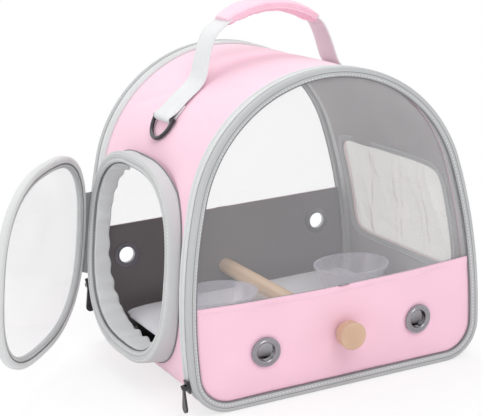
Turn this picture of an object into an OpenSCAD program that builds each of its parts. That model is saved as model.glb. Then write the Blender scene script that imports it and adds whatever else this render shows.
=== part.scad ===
// Soft travel carrier for a small bird: an arched fabric shell with a clear
// front and rear, a round side door, a mesh window, a perch and a handle.
// Millimetres. X is the width, -Y is the front, +Z is up. The origin is on
// the floor, under the middle of the shell.

/* [Shell] */
// Height of the shell, from the floor to the top of the arch
shell_h = 300; // [296:1:306]
// Depth over the front and rear edge bindings
shell_d = 260; // [256:1:272]
// Radius of the top arch
top_r = 140; // [138:1:142]
// Radius of the long curves of the sides
side_r = 500; // [490:5:520]
// Radius of the bottom corners
corner_r = 38; // [36:1:40]
// Distance of the bottom corner arcs from the middle
corner_x = 114; // [113:1:115]
// How far the fabric lies below the edge bindings
wrap_inset = 3.5; // [3:0.5:4]
// Thickness of the padded outer fabric
wrap_t = 2.2; // [1.8:0.1:2.6]
// Thickness of the lining
lining_t = 1.2; // [0.8:0.1:1.4]

/* [Edges] */
// Width of the front and rear bindings, seen from the front
binding_w = 9; // [8:0.5:10]
// Depth of the bindings
binding_d = 8; // [7:0.5:8.5]
// Width of the light zip tape
tape_w = 9; // [8:0.5:9.5]
// Diameter of the corded piping
piping_w = 4.5; // [4:0.5:5]

/* [Panels] */
// Height of the pink part of the front panel
skirt_h = 101; // [95:1:106]
// Height of the dark part of the rear panel
rear_skirt_h = 121; // [112:1:126]
// How far the front panel swells forwards
bulge = 12; // [8:1:14]
// Height of the front eyelets
eyelet_z = 52; // [48:1:56]
// Distance of the front eyelets from the middle
eyelet_x = 80; // [72:1:90]
// Outer diameter of the eyelets
eyelet_d = 28; // [25:1:30]
// Hole through the eyelets
eyelet_hole_d = 17; // [15:1:19]

/* [Side door] */
// Half of the width of the doorway collar
door_a = 106; // [100:1:106]
// Half of the height of the doorway collar
door_b = 97; // [90:1:98]
// Width of the collar and of the door binding
door_rim = 11; // [9:1:12]
// Height of the middle of the doorway
door_z = 124; // [122:1:128]
// Distance of the door's plane from the middle of the shell
door_x = 158; // [157:1:162]
// Lean of the doorway's plane
door_lean = 8; // [7:0.5:9]
// Angle at which the door stands open
door_open = 40; // [20:1:60]

/* [Perch and knobs] */
// Diameter of the perch
perch_d = 16.5; // [14:0.5:18]
// Height of the perch
perch_z = 56; // [50:1:60]
// Diameter of the knobs
knob_d = 26; // [24:1:30]
// Height of the knobs
knob_h = 17; // [15:1:22]

/* [Handle and straps] */
// Width of the webbing
webbing_w = 38; // [30:1:40]
// Height of the top of the handle
handle_top = 346; // [342:1:350]
// Half of the span of the handle at its shoulders
handle_x = 60; // [56:1:62]
// Wire diameter of the D-rings
ring_wire = 4; // [3.5:0.5:4]

/* [Inside] */
// Height of the top of the floor mat
mat_top = 40; // [37:1:42]
// Outer radius of the bowls
bowl_r = 38; // [30:1:38]
// Height of the bowls
bowl_h = 28; // [22:1:28]

/* [Hidden] */

pink = [0.97, 0.78, 0.87];
light_grey = [0.82, 0.83, 0.83];
mid_grey = [0.66, 0.67, 0.68];
dark_grey = [0.5, 0.5, 0.51];
clear = [0.9, 0.93, 0.95, 0.35];
wood = [0.93, 0.8, 0.65];
steel = [0.6, 0.61, 0.63];
black = [0.12, 0.12, 0.13];
far = 400;

// Arch outline: a top arch, two long side curves and two corners, each arc
// tangent to the next. side_c is the centre of the right side curve.
top_c = [0, shell_h - top_r];
corner_c = [corner_x, corner_r];
centre_gap = norm(corner_c - top_c);
centre_dir = (corner_c - top_c) / centre_gap;
side_along = (pow(side_r - top_r, 2) - pow(side_r - corner_r, 2) + pow(centre_gap, 2))
    / (2 * centre_gap);
side_off = sqrt(pow(side_r - top_r, 2) - pow(side_along, 2));
side_c = top_c + side_along * centre_dir - side_off * [-centre_dir.y, centre_dir.x];
top_a = atan2(top_c.y - side_c.y, top_c.x - side_c.x);
low_a = atan2(corner_c.y - side_c.y, corner_c.x - side_c.x);

function arc(c, r, a0, a1, n, last = 0) =
    [for (i = [0:n - 1 + last]) let (a = a0 + (a1 - a0) * i / n) c + r * [cos(a), sin(a)]];
function mirrored(c) = [-c.x, c.y];
function arch(inset) = concat(
    arc(corner_c, corner_r - inset, -90, low_a, 8),
    arc(side_c, side_r - inset, low_a, top_a, 6),
    arc(top_c, top_r - inset, top_a, 180 - top_a, 26),
    arc(mirrored(side_c), side_r - inset, 180 - top_a, 180 - low_a, 6),
    arc(mirrored(corner_c), corner_r - inset, 180 - low_a, 270, 8, 1));

// Layers, as distances inwards from the outline
wrap_in = wrap_inset + wrap_t;
lining_in = wrap_in + lining_t;
// Places along the depth, for the front; the rear mirrors them
half_d = shell_d / 2;
binding_in = half_d - binding_d;
zip_gap = 0.6;
tape_out = binding_in - zip_gap;
tape_in = tape_out - tape_w;
piping_out = 2.4; // how far the piping stands over the end of the fabric
wrap_d = tape_in - piping_out;
panel_y = half_d - 5;
sheet_t = 0.8;
skirt_t = 1.6;

module arch_slab(inset, y0, y1)
    translate([0, y1, 0]) rotate([90, 0, 0]) linear_extrude(y1 - y0) polygon(arch(inset));

module arch_band(outer, inner, y0, y1)
    translate([0, y1, 0]) rotate([90, 0, 0]) linear_extrude(y1 - y0) difference() {
        polygon(arch(outer));
        polygon(arch(inner));
    }

// A ring of the section [[inset, y], ...] carried round the arch
module arch_ring(section) {
    n = len(section);
    rows = [for (s = section) arch(s[0])];
    count = len(rows[0]);
    points = [for (k = [0:count - 1]) for (i = [0:n - 1]) [rows[i][k].x, section[i][1], rows[i][k].y]];
    faces = [for (k = [0:count - 1]) for (i = [0:n - 1]) let (a = k * n + i, b = k * n + (i + 1) % n,
        c = ((k + 1) % count) * n + (i + 1) % n, d = ((k + 1) % count) * n + i)
        each [[a, b, c], [a, c, d]]];
    polyhedron(points, faces);
}

module mirror_y() mirror([0, 1, 0]) children();

// ---- Shell ----------------------------------------------------------------
module doorway_cut(a, b, w0, w1) on_doorway() translate([0, 0, w0]) linear_extrude(w1 - w0) polygon(oval(a, b));

mesh_y = 97;
mesh_z0 = 80;
mesh_z1 = 184;
mesh_corner = 14;
module mesh_outline(grow) {
    r = mesh_corner + grow;
    for (y = [-1, 1]) for (z = [mesh_z0 + mesh_corner, mesh_z1 - mesh_corner])
        translate([y * (mesh_y - mesh_corner), z]) circle(r, $fn = 32);
    translate([-mesh_y - grow, mesh_z0 + mesh_corner]) square([2 * (mesh_y + grow), mesh_z1 - mesh_z0 - 2 * mesh_corner]);
    translate([-mesh_y + mesh_corner, mesh_z0 - grow]) square([2 * (mesh_y - mesh_corner), mesh_z1 - mesh_z0 + 2 * grow]);
}
module mesh_cut(grow) translate([100, 0, 0]) rotate([90, 0, 90]) linear_extrude(80) mesh_outline(grow);

module shell_layer(outer, inner) difference() {
    arch_band(outer, inner, -wrap_d, wrap_d);
    translate([-corner_x, -wrap_d - 1, -1]) cube([2 * corner_x, 2 * wrap_d + 2, 20]);
    doorway_cut(door_a - door_rim, door_b - door_rim, -60, 10);
    mesh_cut(0);
}

module body_wrap() color(pink) shell_layer(wrap_inset, wrap_in);
module wrap_lining() color(dark_grey) shell_layer(wrap_in, lining_in);

base_edge = 1.5;
module base_panel() color(pink) union() {
    along_y(2 * wrap_d) translate([-corner_x, wrap_inset]) square([2 * corner_x, wrap_t]);
    along_y(2 * (wrap_d + piping_out - piping_w - 0.1)) polygon([[-corner_x + base_edge, 0],
        [corner_x - base_edge, 0], [corner_x, base_edge], [corner_x, wrap_inset],
        [-corner_x, wrap_inset], [-corner_x, base_edge]]);
}

// Stiff tray, turned over, that carries the floor mat above the base
tray_h = 26;
tray_t = 2.5;
module floor_tray() color(black) difference() {
    translate([-corner_x + 2, -wrap_d + 2, wrap_in]) cube([2 * corner_x - 4, 2 * wrap_d - 4, tray_h]);
    translate([-corner_x + 2 + tray_t, -wrap_d + 2 + tray_t, wrap_in - 1])
        cube([2 * (corner_x - 2 - tray_t), 2 * (wrap_d - 2 - tray_t), tray_h + 1 - tray_t]);
}

// ---- Edges ----------------------------------------------------------------
module piping() {
    r = piping_w / 2;
    y = wrap_d - r + piping_out;
    arch_ring([for (a = [0:36:180]) [wrap_inset - sin(a) * (wrap_inset - 0.2), y + r * cos(a)]]);
}
module zip_tape() arch_ring([[1, tape_out], [1, tape_in + 0.8], [wrap_inset, tape_in + 0.1],
    [wrap_inset, wrap_d], [wrap_in, wrap_d], [wrap_in, tape_out]]);
module zip_coil() arch_ring([[1.8, tape_out + 0.3], [1.8, tape_out], [4.2, tape_out], [4.2, tape_out + 0.3]]);
module binding() {
    c = 4;
    arch_ring([[c, half_d], [1.2, half_d - 1.2], [0.2, half_d - c], [0.2, binding_in], [binding_w, binding_in],
        [binding_w, half_d - 1.5], [binding_w - 1.5, half_d]]);
}

module front_piping() color(light_grey) mirror_y() piping();
module front_zip_tape() color(light_grey) mirror_y() zip_tape();
module front_zip_coil() color(dark_grey) mirror_y() zip_coil();
module rear_piping() color(light_grey) piping();
module rear_zip_tape() color(light_grey) zip_tape();
module rear_zip_coil() color(dark_grey) zip_coil();
module rear_binding() color(mid_grey) binding();
module front_binding() color(mid_grey) mirror_y() binding();
module front_hinge_tape() color(mid_grey) translate([-corner_x, -tape_out, 0.3])
    cube([2 * corner_x, tape_w - 1, 0.7]);

// ---- Rear panel -----------------------------------------------------------
rear_eyelet_x = 112;
rear_eyelet_z = 88;
module rear_cut(z0, z1) translate([-far / 2, 0, z0]) cube([far, far, z1 - z0]);
module rear_sheet(y, t, z0, z1) difference() {
    intersection() {
        arch_slab(binding_w, y, y + t);
        rear_cut(z0, z1);
    }
    for (s = [-1, 1]) translate([s * rear_eyelet_x, y - 1, rear_eyelet_z]) rotate([-90, 0, 0])
        cylinder(d = eyelet_hole_d + 2, h = t + 2, $fn = 48);
    translate([0, y - 1, perch_z]) rotate([-90, 0, 0]) cylinder(r = screw_r + 0.7, h = t + 2, $fn = 32);
}
module rear_skirt() color(pink) rear_sheet(panel_y, skirt_t, 0, rear_skirt_h);
module rear_skirt_lining() color(dark_grey) rear_sheet(panel_y - 1, 1, 0, rear_skirt_h);
module rear_window() color(clear) rear_sheet(panel_y - 0.2, sheet_t, rear_skirt_h, shell_h);

// Eyelet: a rolled flange and a barrel outside, and a washer inside.
// t is the cloth between them.
module eyelet(t) rotate_extrude($fn = 64) union() {
    translate([eyelet_hole_d / 2, -t - 1.4]) square([1, t + 2]);
    translate([eyelet_hole_d / 2 + 1.6, 0.1]) intersection() {
        circle(1.6, $fn = 32);
        translate([-2, 0]) square([4, 2]);
    }
    translate([eyelet_hole_d / 2 + 1.6, 0]) square([eyelet_d / 2 - eyelet_hole_d / 2 - 1.6, 1]);
}
module eyelet_washer() rotate_extrude($fn = 64)
    translate([eyelet_hole_d / 2 + 1, -0.9]) square([eyelet_d / 2 - eyelet_hole_d / 2 - 1.5, 0.9]);
module at_rear_eyelets(y) for (s = [-1, 1]) translate([s * rear_eyelet_x, y, rear_eyelet_z])
    rotate([-90, 0, 0]) children();
module rear_eyelets() color(steel) at_rear_eyelets(panel_y + skirt_t) eyelet(skirt_t + 1);
module rear_eyelet_washers() color(steel) at_rear_eyelets(panel_y - 1) eyelet_washer();

// ---- Perch and knobs ------------------------------------------------------
screw_r = 2.5;
screw_grip = 9;
perch_bow = bow((skirt_h - perch_z) / (skirt_h - binding_w));
perch_front = 3.2 - panel_y - perch_bow;
perch_rear = panel_y - 1.4;
front_knob_y = -panel_y - skirt_t - perch_bow - 2;
rear_knob_y = panel_y + skirt_t + 0.5;
module perch() color(wood) difference() {
    translate([0, perch_front, perch_z]) rotate([-90, 0, 0]) cylinder(d = perch_d, h = perch_rear - perch_front, $fn = 64);
    translate([0, perch_front - 1, perch_z]) rotate([-90, 0, 0]) cylinder(r = screw_r + 1.5, h = screw_grip + 2, $fn = 48);
    translate([0, perch_rear - screw_grip - 1, perch_z]) rotate([-90, 0, 0])
        cylinder(r = screw_r + 0.06, h = screw_grip + 2, $fn = 48);
}
// Turned knob on +Z: a broad head with a rounded rim on a narrower foot
module knob() {
    r = knob_d / 2;
    difference() {
        rotate_extrude($fn = 72) polygon(concat([[0, 0], [r * 0.72, 0], [r * 0.74, knob_h * 0.2]],
            arc([r * 0.78, knob_h * 0.42], r * 0.2, -90, 0, 5),
            arc([r - 1.6, knob_h - 1.6], 1.6, 0, 90, 5, 1), [[0, knob_h]]));
        translate([0, 0, -1]) cylinder(r = screw_r, h = knob_h * 0.6 + 1, $fn = 48);
    }
}
module rear_knob() color(wood) translate([0, rear_knob_y, perch_z]) rotate([-90, 0, 0]) knob();
module front_knob() color(wood) translate([0, front_knob_y, perch_z]) rotate([90, 0, 0]) knob();
module screw(y0, y1) color(steel) translate([0, y0, perch_z]) rotate([-90, 0, 0]) cylinder(r = screw_r, h = y1 - y0, $fn = 48);
module rear_screw() screw(perch_rear - screw_grip, rear_knob_y + knob_h * 0.6);
module front_screw() screw(front_knob_y - knob_h * 0.6, perch_front + screw_grip - 1);

// ---- Side doorway and door ------------------------------------------------
oval_power = 2.6;
door_y = 1.5;
door_t = 8;
door_gap = 0.5;
function oval(a, b) = [for (i = [0:71]) let (t = i * 5, c = cos(t), s = sin(t))
    [a * sign(c) * pow(abs(c), 2 / oval_power), b * sign(s) * pow(abs(s), 2 / oval_power)]];
function wavy_oval(a, b, depth, waves) = [for (i = [0:215]) let (t = i * 360 / 216, c = cos(t), s = sin(t),
    k = depth * (0.5 + 0.5 * sin(waves * t)))
    [(a - k) * sign(c) * pow(abs(c), 2 / oval_power), (b - k) * sign(s) * pow(abs(s), 2 / oval_power)]];

// The doorway's own frame: x to the front, y up along the lean, z outwards
module on_doorway() translate([-door_x, door_y, door_z]) rotate([0, door_lean, 0]) rotate([90, 0, -90]) children();
module oval_ring(a, b, rim, w0, w1) translate([0, 0, w0]) linear_extrude(w1 - w0) difference() {
    polygon(oval(a, b));
    polygon(oval(a - rim, b - rim));
}
module doorway_trim() color(light_grey) difference() {
    on_doorway() oval_ring(door_a, door_b, door_rim, -45, 0);
    arch_slab(wrap_inset, -half_d, half_d);
}
module doorway_zip() color(mid_grey) on_doorway() oval_ring(door_a - door_rim, door_b - door_rim, 1.6, -4, -1);
lip_t = 3.2;
module doorway_lip() color(mid_grey) difference() {
    on_doorway() translate([0, 0, -50]) linear_extrude(45) difference() {
        polygon(oval(door_a - door_rim, door_b - door_rim));
        polygon(wavy_oval(door_a - door_rim - 1.2, door_b - door_rim - 1.2, lip_t - 1.2, 26));
    }
    arch_slab(lining_in + 2.5, -half_d, half_d);
}

// The door swings about an upright line, on a sewn strip at its rear edge
hinge_half = 42;
hinge_p = [-door_x, door_y + door_a + 1, door_z];
module swung() translate(hinge_p) rotate([0, 0, -door_open]) translate(-hinge_p) children();
module door_binding() color(light_grey) swung() on_doorway() union() {
    oval_ring(door_a, door_b, door_rim, door_gap + 1.5, door_gap + door_t - 1.5);
    oval_ring(door_a - 1.5, door_b - 1.5, door_rim - 3, door_gap, door_gap + door_t);
}
module door_window() color(clear) swung() on_doorway() translate([0, 0, door_gap + 4]) linear_extrude(sheet_t)
    polygon(oval(door_a - door_rim, door_b - door_rim));
module door_zip() color(mid_grey) swung() on_doorway()
    oval_ring(door_a - door_rim, door_b - door_rim, 1.6, door_gap + 0.6 + 1.5, door_gap + 4);
strip_t = 1;
module door_hinge_tape() color(mid_grey) swung() on_doorway() difference() {
    translate([-door_a - strip_t - 0.2, -hinge_half, door_gap + 0.5]) cube([8, 2 * hinge_half, door_t - 2]);
    translate([0, 0, -1]) linear_extrude(20) polygon(oval(door_a, door_b));
}
module doorway_hinge_tape() color(mid_grey) on_doorway() difference() {
    translate([-door_a - strip_t - 0.2, -hinge_half, -8]) cube([8, 2 * hinge_half, 7.6]);
    translate([0, 0, -20]) linear_extrude(40) polygon(oval(door_a, door_b));
}

// ---- Mesh window ----------------------------------------------------------
module mesh_window() color([0.93, 0.92, 0.88]) intersection() {
    arch_band(wrap_inset + 1, wrap_inset + 1.6, -wrap_d, wrap_d);
    mesh_cut(0);
}
module mesh_rim(outer, inner) intersection() {
    arch_band(outer, inner, -wrap_d, wrap_d);
    difference() {
        mesh_cut(7);
        mesh_cut(0);
    }
}
module mesh_frame() color(mid_grey) union() {
    mesh_rim(wrap_inset - 0.9, wrap_inset);
    mesh_rim(lining_in, lining_in + 0.9);
}

// ---- Front panel ----------------------------------------------------------
// A sheet between the hub, in the middle of the seam, and the inside of the
// binding. It swells most at the hub, so the panel bows forwards.
sheet_edge = arch(binding_w);
hub = [0, skirt_h];
function bow(f) = bulge * (1 - f * f);
function seam_x() = [for (i = [0:len(sheet_edge) - 2]) let (p = sheet_edge[i], q = sheet_edge[i + 1])
    if (p.x > 0 && p.y <= skirt_h && q.y > skirt_h) p.x + (q.x - p.x) * (skirt_h - p.y) / (q.y - p.y)][0];
window_edge = concat([[seam_x(), skirt_h]], [for (p = sheet_edge) if (p.y > skirt_h + 4) p], [[-seam_x(), skirt_h]]);
skirt_edge = concat([[-seam_x(), skirt_h]],
    [for (p = sheet_edge) if (p.x < 0 && p.y < skirt_h - 4) p],
    [for (p = sheet_edge) if (p.x > 0 && p.y < skirt_h - 4) p],
    [[seam_x(), skirt_h]]);
sheet_steps = 6;
module bowed_sheet(edge, y, t) {
    n = len(edge);
    layer = function (back) concat([[hub.x, -y - bulge + back, hub.y]],
        [for (s = [1:sheet_steps]) let (f = s / sheet_steps) for (p = edge) let (q = hub + f * (p - hub))
            [q.x, -y - bow(f) + back, q.y]]);
    points = concat(layer(-t), layer(0));
    m = 1 + sheet_steps * n;
    id = function (s, k) 1 + (s - 1) * n + k;
    fan = [for (k = [0:n - 2]) [0, id(1, k + 1), id(1, k)]];
    quads = [for (s = [1:sheet_steps - 1]) for (k = [0:n - 2])
        each [[id(s, k), id(s, k + 1), id(s + 1, k)], [id(s, k + 1), id(s + 1, k + 1), id(s + 1, k)]]];
    rim = concat([0], [for (s = [1:sheet_steps]) id(s, 0)], [for (k = [1:n - 1]) id(sheet_steps, k)],
        [for (s = [sheet_steps - 1:-1:1]) id(s, n - 1)]);
    front = concat(fan, quads);
    back = [for (f = front) [f[0] + m, f[2] + m, f[1] + m]];
    side = [for (i = [0:len(rim) - 1]) let (a = rim[i], b = rim[(i + 1) % len(rim)]) each [[a, b, b + m], [a, b + m, a + m]]];
    polyhedron(points, concat(front, back, side));
}
module front_holes() {
    at_front_eyelets(0) translate([0, 0, -12]) cylinder(d = eyelet_hole_d + 2, h = 24, $fn = 40);
    translate([0, -half_d - 30, perch_z]) rotate([-90, 0, 0]) cylinder(r = screw_r + 0.8, h = 40, $fn = 32);
}
module front_window() color(clear) bowed_sheet(window_edge, panel_y, sheet_t);
module front_skirt() color(pink) difference() {
    bowed_sheet(skirt_edge, panel_y, skirt_t);
    front_holes();
}
module front_skirt_lining() color(dark_grey) difference() {
    bowed_sheet(skirt_edge, panel_y - 1, 1);
    front_holes();
}
// The cloth turns with the bow at the eyelets: outwards and down
eyelet_turn = 4.3;
eyelet_dip = 2.7;
eyelet_bow = 7.75;
module at_front_eyelets(back) for (s = [-1, 1])
    translate([s * eyelet_x, -panel_y - skirt_t - eyelet_bow, eyelet_z]) rotate([0, 0, s * eyelet_turn])
        rotate([90 + eyelet_dip, 0, 0]) translate([0, 0, -back]) children();
module front_eyelets() color(steel) at_front_eyelets(-0.4) eyelet(skirt_t + 2);
module front_eyelet_washers() color(steel) at_front_eyelets(skirt_t + 2) eyelet_washer();

// ---- Straps, rings and handle --------------------------------------------
strap_t = 2.2;
strap_a0 = 120;
strap_a1 = 136.5;
loop_a = 140;
loop_r = 4.3;
ring_r = ring_wire / 2;
ring_fit = 0.08;
loop_c = top_c + (top_r - wrap_inset + loop_r + 0.3) * [cos(loop_a), sin(loop_a)];
module wedge(a0, a1) polygon([top_c, top_c + far * [cos(a0), sin(a0)], top_c + far * [cos(a1), sin(a1)]]);
module along_y(w) translate([0, w / 2, 0]) rotate([90, 0, 0]) linear_extrude(w) children();
module strap_band(a0, a1) intersection() {
    difference() {
        polygon(arch(wrap_inset - strap_t));
        polygon(arch(wrap_inset));
    }
    wedge(a0, a1);
}
module left_strap() color(light_grey) along_y(webbing_w) strap_band(strap_a0, strap_a1);
module left_ring_loop() color(light_grey) difference() {
    along_y(webbing_w - 4) union() {
        strap_band(strap_a1, loop_a);
        translate(loop_c) circle(loop_r, $fn = 48);
    }
    translate([loop_c.x, webbing_w, loop_c.y]) rotate([90, 0, 0]) cylinder(r = ring_r + ring_fit, h = 2 * webbing_w, $fn = 48);
}
module right_strap() mirror([1, 0, 0]) left_strap();
module right_ring_loop() mirror([1, 0, 0]) left_ring_loop();

ring_span = 42;
ring_rest = loop_a + 90 + 8;
module left_ring() color(black) translate([loop_c.x, 0, loop_c.y]) rotate([0, -ring_rest, 0]) union() {
    rotate([90, 0, 0]) translate([0, 0, -ring_span / 2 - ring_r]) cylinder(r = ring_r, h = ring_span + 2 * ring_r, $fn = 48);
    rotate([0, 0, -90]) rotate_extrude(angle = 180, $fn = 96) translate([ring_span / 2, 0]) circle(ring_r, $fn = 24);
}
module right_ring() mirror([1, 0, 0]) left_ring();

// Handle: two legs and a flat arch, tilting on the sewn ends of the webbing
handle_axis_z = 298;
handle_w = 34;
leg_x = 70;
shoulder_z = 322;
grip_rise = handle_top - shoulder_z;
grip_r = (handle_x * handle_x + grip_rise * grip_rise) / (2 * grip_rise);
grip_c = handle_top - grip_r;
grip_a = acos(handle_x / grip_r);
handle_t = 3;
module leg_strip() {
    polygon([[leg_x + handle_t / 2, handle_axis_z - handle_w / 2], [handle_x + handle_t / 2, shoulder_z],
        [handle_x - handle_t / 2, shoulder_z], [leg_x - handle_t / 2, handle_axis_z - handle_w / 2]]);
    translate([handle_x, shoulder_z]) circle(handle_t / 2 + 0.05, $fn = 32);
}
module handle_profile() {
    leg_strip();
    mirror([1, 0]) leg_strip();
    polygon(concat(arc([0, grip_c], grip_r + handle_t / 2, grip_a, 180 - grip_a, 18, 1),
        arc([0, grip_c], grip_r - handle_t / 2, 180 - grip_a, grip_a, 18, 1)));
}
module handle_strap() color(light_grey) intersection() {
    along_y(handle_w) handle_profile();
    union() {
        translate([-far / 2, 0, handle_axis_z]) rotate([0, 90, 0]) cylinder(d = handle_w, h = far, $fn = 64);
        translate([-far / 2, -handle_w / 2, handle_axis_z]) cube([far, handle_w, 80]);
    }
}
// Padded sleeve, fullest in the middle and drawn in at its ends
grip_w = 42;
grip_t = 12;
grip_mid = 86;
grip_half = 33;
grip_steps = 14;
module handle_grip() color(pink) difference() {
    n = 16;
    points = [for (i = [0:grip_steps]) let (q = 2 * i / grip_steps - 1, a = grip_mid - grip_half * q,
        k = 1 - 0.22 * pow(abs(q), 4)) for (j = [0:n - 1]) let (t = j * 360 / n, c = cos(t), s = sin(t),
        u = k * grip_t / 2 * sign(s) * pow(abs(s), 0.8), y = k * grip_w / 2 * sign(c) * pow(abs(c), 0.6),
        r = grip_r + u) [r * cos(a), y, grip_c + r * sin(a)]];
    faces = concat([[for (j = [n - 1:-1:0]) j]], [[for (j = [0:n - 1]) grip_steps * n + j]],
        [for (i = [0:grip_steps - 1]) for (j = [0:n - 1]) let (a = i * n + j, b = i * n + (j + 1) % n)
            each [[a, b, b + n], [a, b + n, a + n]]]);
    polyhedron(points, faces);
    along_y(handle_w) handle_profile();
}

// ---- Zip sliders and pulls ------------------------------------------------
pin_r = 0.9;
pin_rise = 4.8;
pull_l = 19;
door_pull_l = 24;
// Slider on +Z: a plate and two posts that carry the pin of the pull along X
module slider() {
    translate([-3.5, -6, 0]) cube([7, 12, 2.2]);
    for (s = [-1, 1]) translate([s * 2.6 - 0.8, -1.8, 2.1]) cube([1.6, 3.6, pin_rise - 0.6]);
    translate([-2.4, 0, pin_rise]) rotate([0, 90, 0]) cylinder(r = pin_r, h = 4.8, $fn = 32);
}
// Teardrop pull hanging down -Y from the pin
module pull(l) difference() {
    union() {
        translate([-1.4, 0, 0]) rotate([0, 90, 0]) cylinder(r = 2.1, h = 2.8, $fn = 32);
        translate([0, 0, -1]) linear_extrude(2) union() {
            polygon([[-1.4, 0], [1.4, 0], [1.6, -4], [4.4, 1 - l], [-4.4, 1 - l], [-1.6, -4]]);
            translate([0, -l]) circle(4.5, $fn = 48);
        }
    }
    translate([-4, 0, 0]) rotate([0, 90, 0]) cylinder(r = pin_r + 0.08, h = 8, $fn = 32);
}
// One slider sits on the rear side of the collar, turned to the slope of the
// oval there, and one on the left front corner of the arch.
door_slider_v = -52;
door_slider_s = pow(abs(door_slider_v) / door_b, oval_power);
door_slider_u = door_a * pow(1 - door_slider_s, 1 / oval_power);
door_slider_tilt = atan(door_slider_s / (1 - door_slider_s) * door_slider_u / abs(door_slider_v));
door_slider_p = [-door_x - 5, door_y + door_slider_u + 0.3, door_z + door_slider_v];
door_pin = door_slider_p + pin_rise * [0, cos(door_slider_tilt), -sin(door_slider_tilt)];
front_slider_a = 192;
front_slider_c = mirrored(corner_c) + (corner_r + 0.4) * [cos(front_slider_a), sin(front_slider_a)];
front_slider_p = [front_slider_c.x, -tape_out + 1, front_slider_c.y];
front_pin = front_slider_p + pin_rise * [cos(front_slider_a), 0, sin(front_slider_a)];
module door_zip_slider() color(black) translate(door_slider_p) rotate([90 + door_slider_tilt, 0, 180]) slider();
module door_zip_pull() color(black) translate(door_pin) rotate([90, 0, 180]) pull(door_pull_l);
module front_zip_slider() color(black) translate(front_slider_p)
    rotate([0, 180 - front_slider_a, 0]) rotate([90, 0, -90]) slider();
module front_zip_pull() color(black) translate(front_pin) rotate([90, 0, -90]) pull(pull_l);

// ---- Inside ---------------------------------------------------------------
mat_z = wrap_in + tray_h + 0.4;
mat_a = 134;
mat_b = wrap_d - 3;
mat_power = 0.16; // a low power gives a box with small rounded corners
mat_h = mat_top - mat_z;
// Rings of the mat, as [distance in from its edge, share of its height]
mat_rings = [[8, 0], [2, 0.08], [0.3, 0.3], [0, 0.5], [0.6, 0.72], [2.4, 0.9], [7, 0.97], [30, 1]];
module floor_mat() color([0.78, 0.78, 0.8]) {
    n = 48;
    outline = function (a, b) [for (i = [0:n - 1]) let (t = i * 360 / n, c = cos(t), s = sin(t))
        [a * sign(c) * pow(abs(c), mat_power), b * sign(s) * pow(abs(s), mat_power)]];
    points = concat([for (r = mat_rings) for (p = outline(mat_a - r[0], mat_b - r[0])) [p.x, p.y, mat_z + r[1] * mat_h]]);
    last = (len(mat_rings) - 1) * n;
    faces = concat([[for (j = [0:n - 1]) j]], [[for (j = [n - 1:-1:0]) last + j]],
        [for (i = [0:len(mat_rings) - 2]) for (j = [0:n - 1]) let (a = i * n + j, b = i * n + (j + 1) % n)
            each [[a, a + n, b + n], [a, b + n, b]]]);
    polyhedron(points, faces);
}
bowl_foot = 0.72;
bowl_wall = 1.6;
module bowl() rotate_extrude($fn = 72) polygon([[0, 0], [bowl_r * bowl_foot, 0], [bowl_r - 1, bowl_h - 2.4],
    [bowl_r + 1, bowl_h - 2.4], [bowl_r + 1, bowl_h], [bowl_r - 1.4, bowl_h], [bowl_r * bowl_foot - bowl_wall, bowl_wall + 1],
    [0, bowl_wall]]);
left_bowl_p = [-62, 6];
right_bowl_p = [93, 14];
module left_bowl() color(clear) translate([left_bowl_p.x, left_bowl_p.y, mat_top + 0.4]) bowl();
module right_bowl() color(clear) translate([right_bowl_p.x, right_bowl_p.y, mat_top + 0.4]) bowl();

body_wrap();
wrap_lining();
base_panel();
floor_tray();
front_piping();
front_zip_tape();
front_zip_coil();
rear_piping();
rear_zip_tape();
rear_zip_coil();
rear_binding();
rear_skirt();
rear_skirt_lining();
rear_window();
rear_eyelets();
rear_eyelet_washers();
perch();
rear_knob();
rear_screw();
doorway_trim();
doorway_zip();
doorway_lip();
doorway_hinge_tape();
mesh_window();
mesh_frame();
left_strap();
right_strap();
left_ring_loop();
right_ring_loop();
front_hinge_tape();
door_binding();
door_window();
door_zip();
door_hinge_tape();
front_binding();
front_window();
front_skirt();
front_skirt_lining();
front_eyelets();
front_eyelet_washers();
front_knob();
front_screw();
handle_strap();
handle_grip();
left_ring();
right_ring();
door_zip_slider();
door_zip_pull();
front_zip_slider();
front_zip_pull();
floor_mat();
left_bowl();
right_bowl();
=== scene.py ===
# %% [markdown]
# # A soft travel carrier for a small bird
# The real object is an arched bag of padded cloth, about 30 cm wide. Its front
# and rear are clear sheets, and a round door opens at its left side. The packed
# CAD part gives every place and every moving body. This lesson lays cloth,
# binding tape, webbing, zips, clear sheet and wood over that frame.

# %% Load the frame
import math

import bpy
import numpy as np
from mathutils import Matrix


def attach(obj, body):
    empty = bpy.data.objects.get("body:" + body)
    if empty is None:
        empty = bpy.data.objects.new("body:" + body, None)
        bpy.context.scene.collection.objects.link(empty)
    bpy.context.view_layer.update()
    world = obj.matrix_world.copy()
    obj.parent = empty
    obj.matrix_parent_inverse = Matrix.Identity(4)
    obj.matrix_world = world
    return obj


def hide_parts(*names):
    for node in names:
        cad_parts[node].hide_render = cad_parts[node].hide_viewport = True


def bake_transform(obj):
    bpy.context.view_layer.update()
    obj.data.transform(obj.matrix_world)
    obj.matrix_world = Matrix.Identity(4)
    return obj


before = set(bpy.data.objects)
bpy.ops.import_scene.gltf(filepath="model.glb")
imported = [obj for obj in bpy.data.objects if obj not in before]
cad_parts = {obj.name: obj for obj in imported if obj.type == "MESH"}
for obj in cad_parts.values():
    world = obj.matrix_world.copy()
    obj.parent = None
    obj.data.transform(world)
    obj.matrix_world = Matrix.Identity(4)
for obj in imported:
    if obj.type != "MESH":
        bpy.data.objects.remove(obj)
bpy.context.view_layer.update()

# %% [markdown]
# ## Camera
# A long lens about 1.5 m away gives the mild perspective of a product
# photograph. The place and the three turns come from a fit to the outline, so
# the camera is set by a matrix and not by a target.

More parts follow.
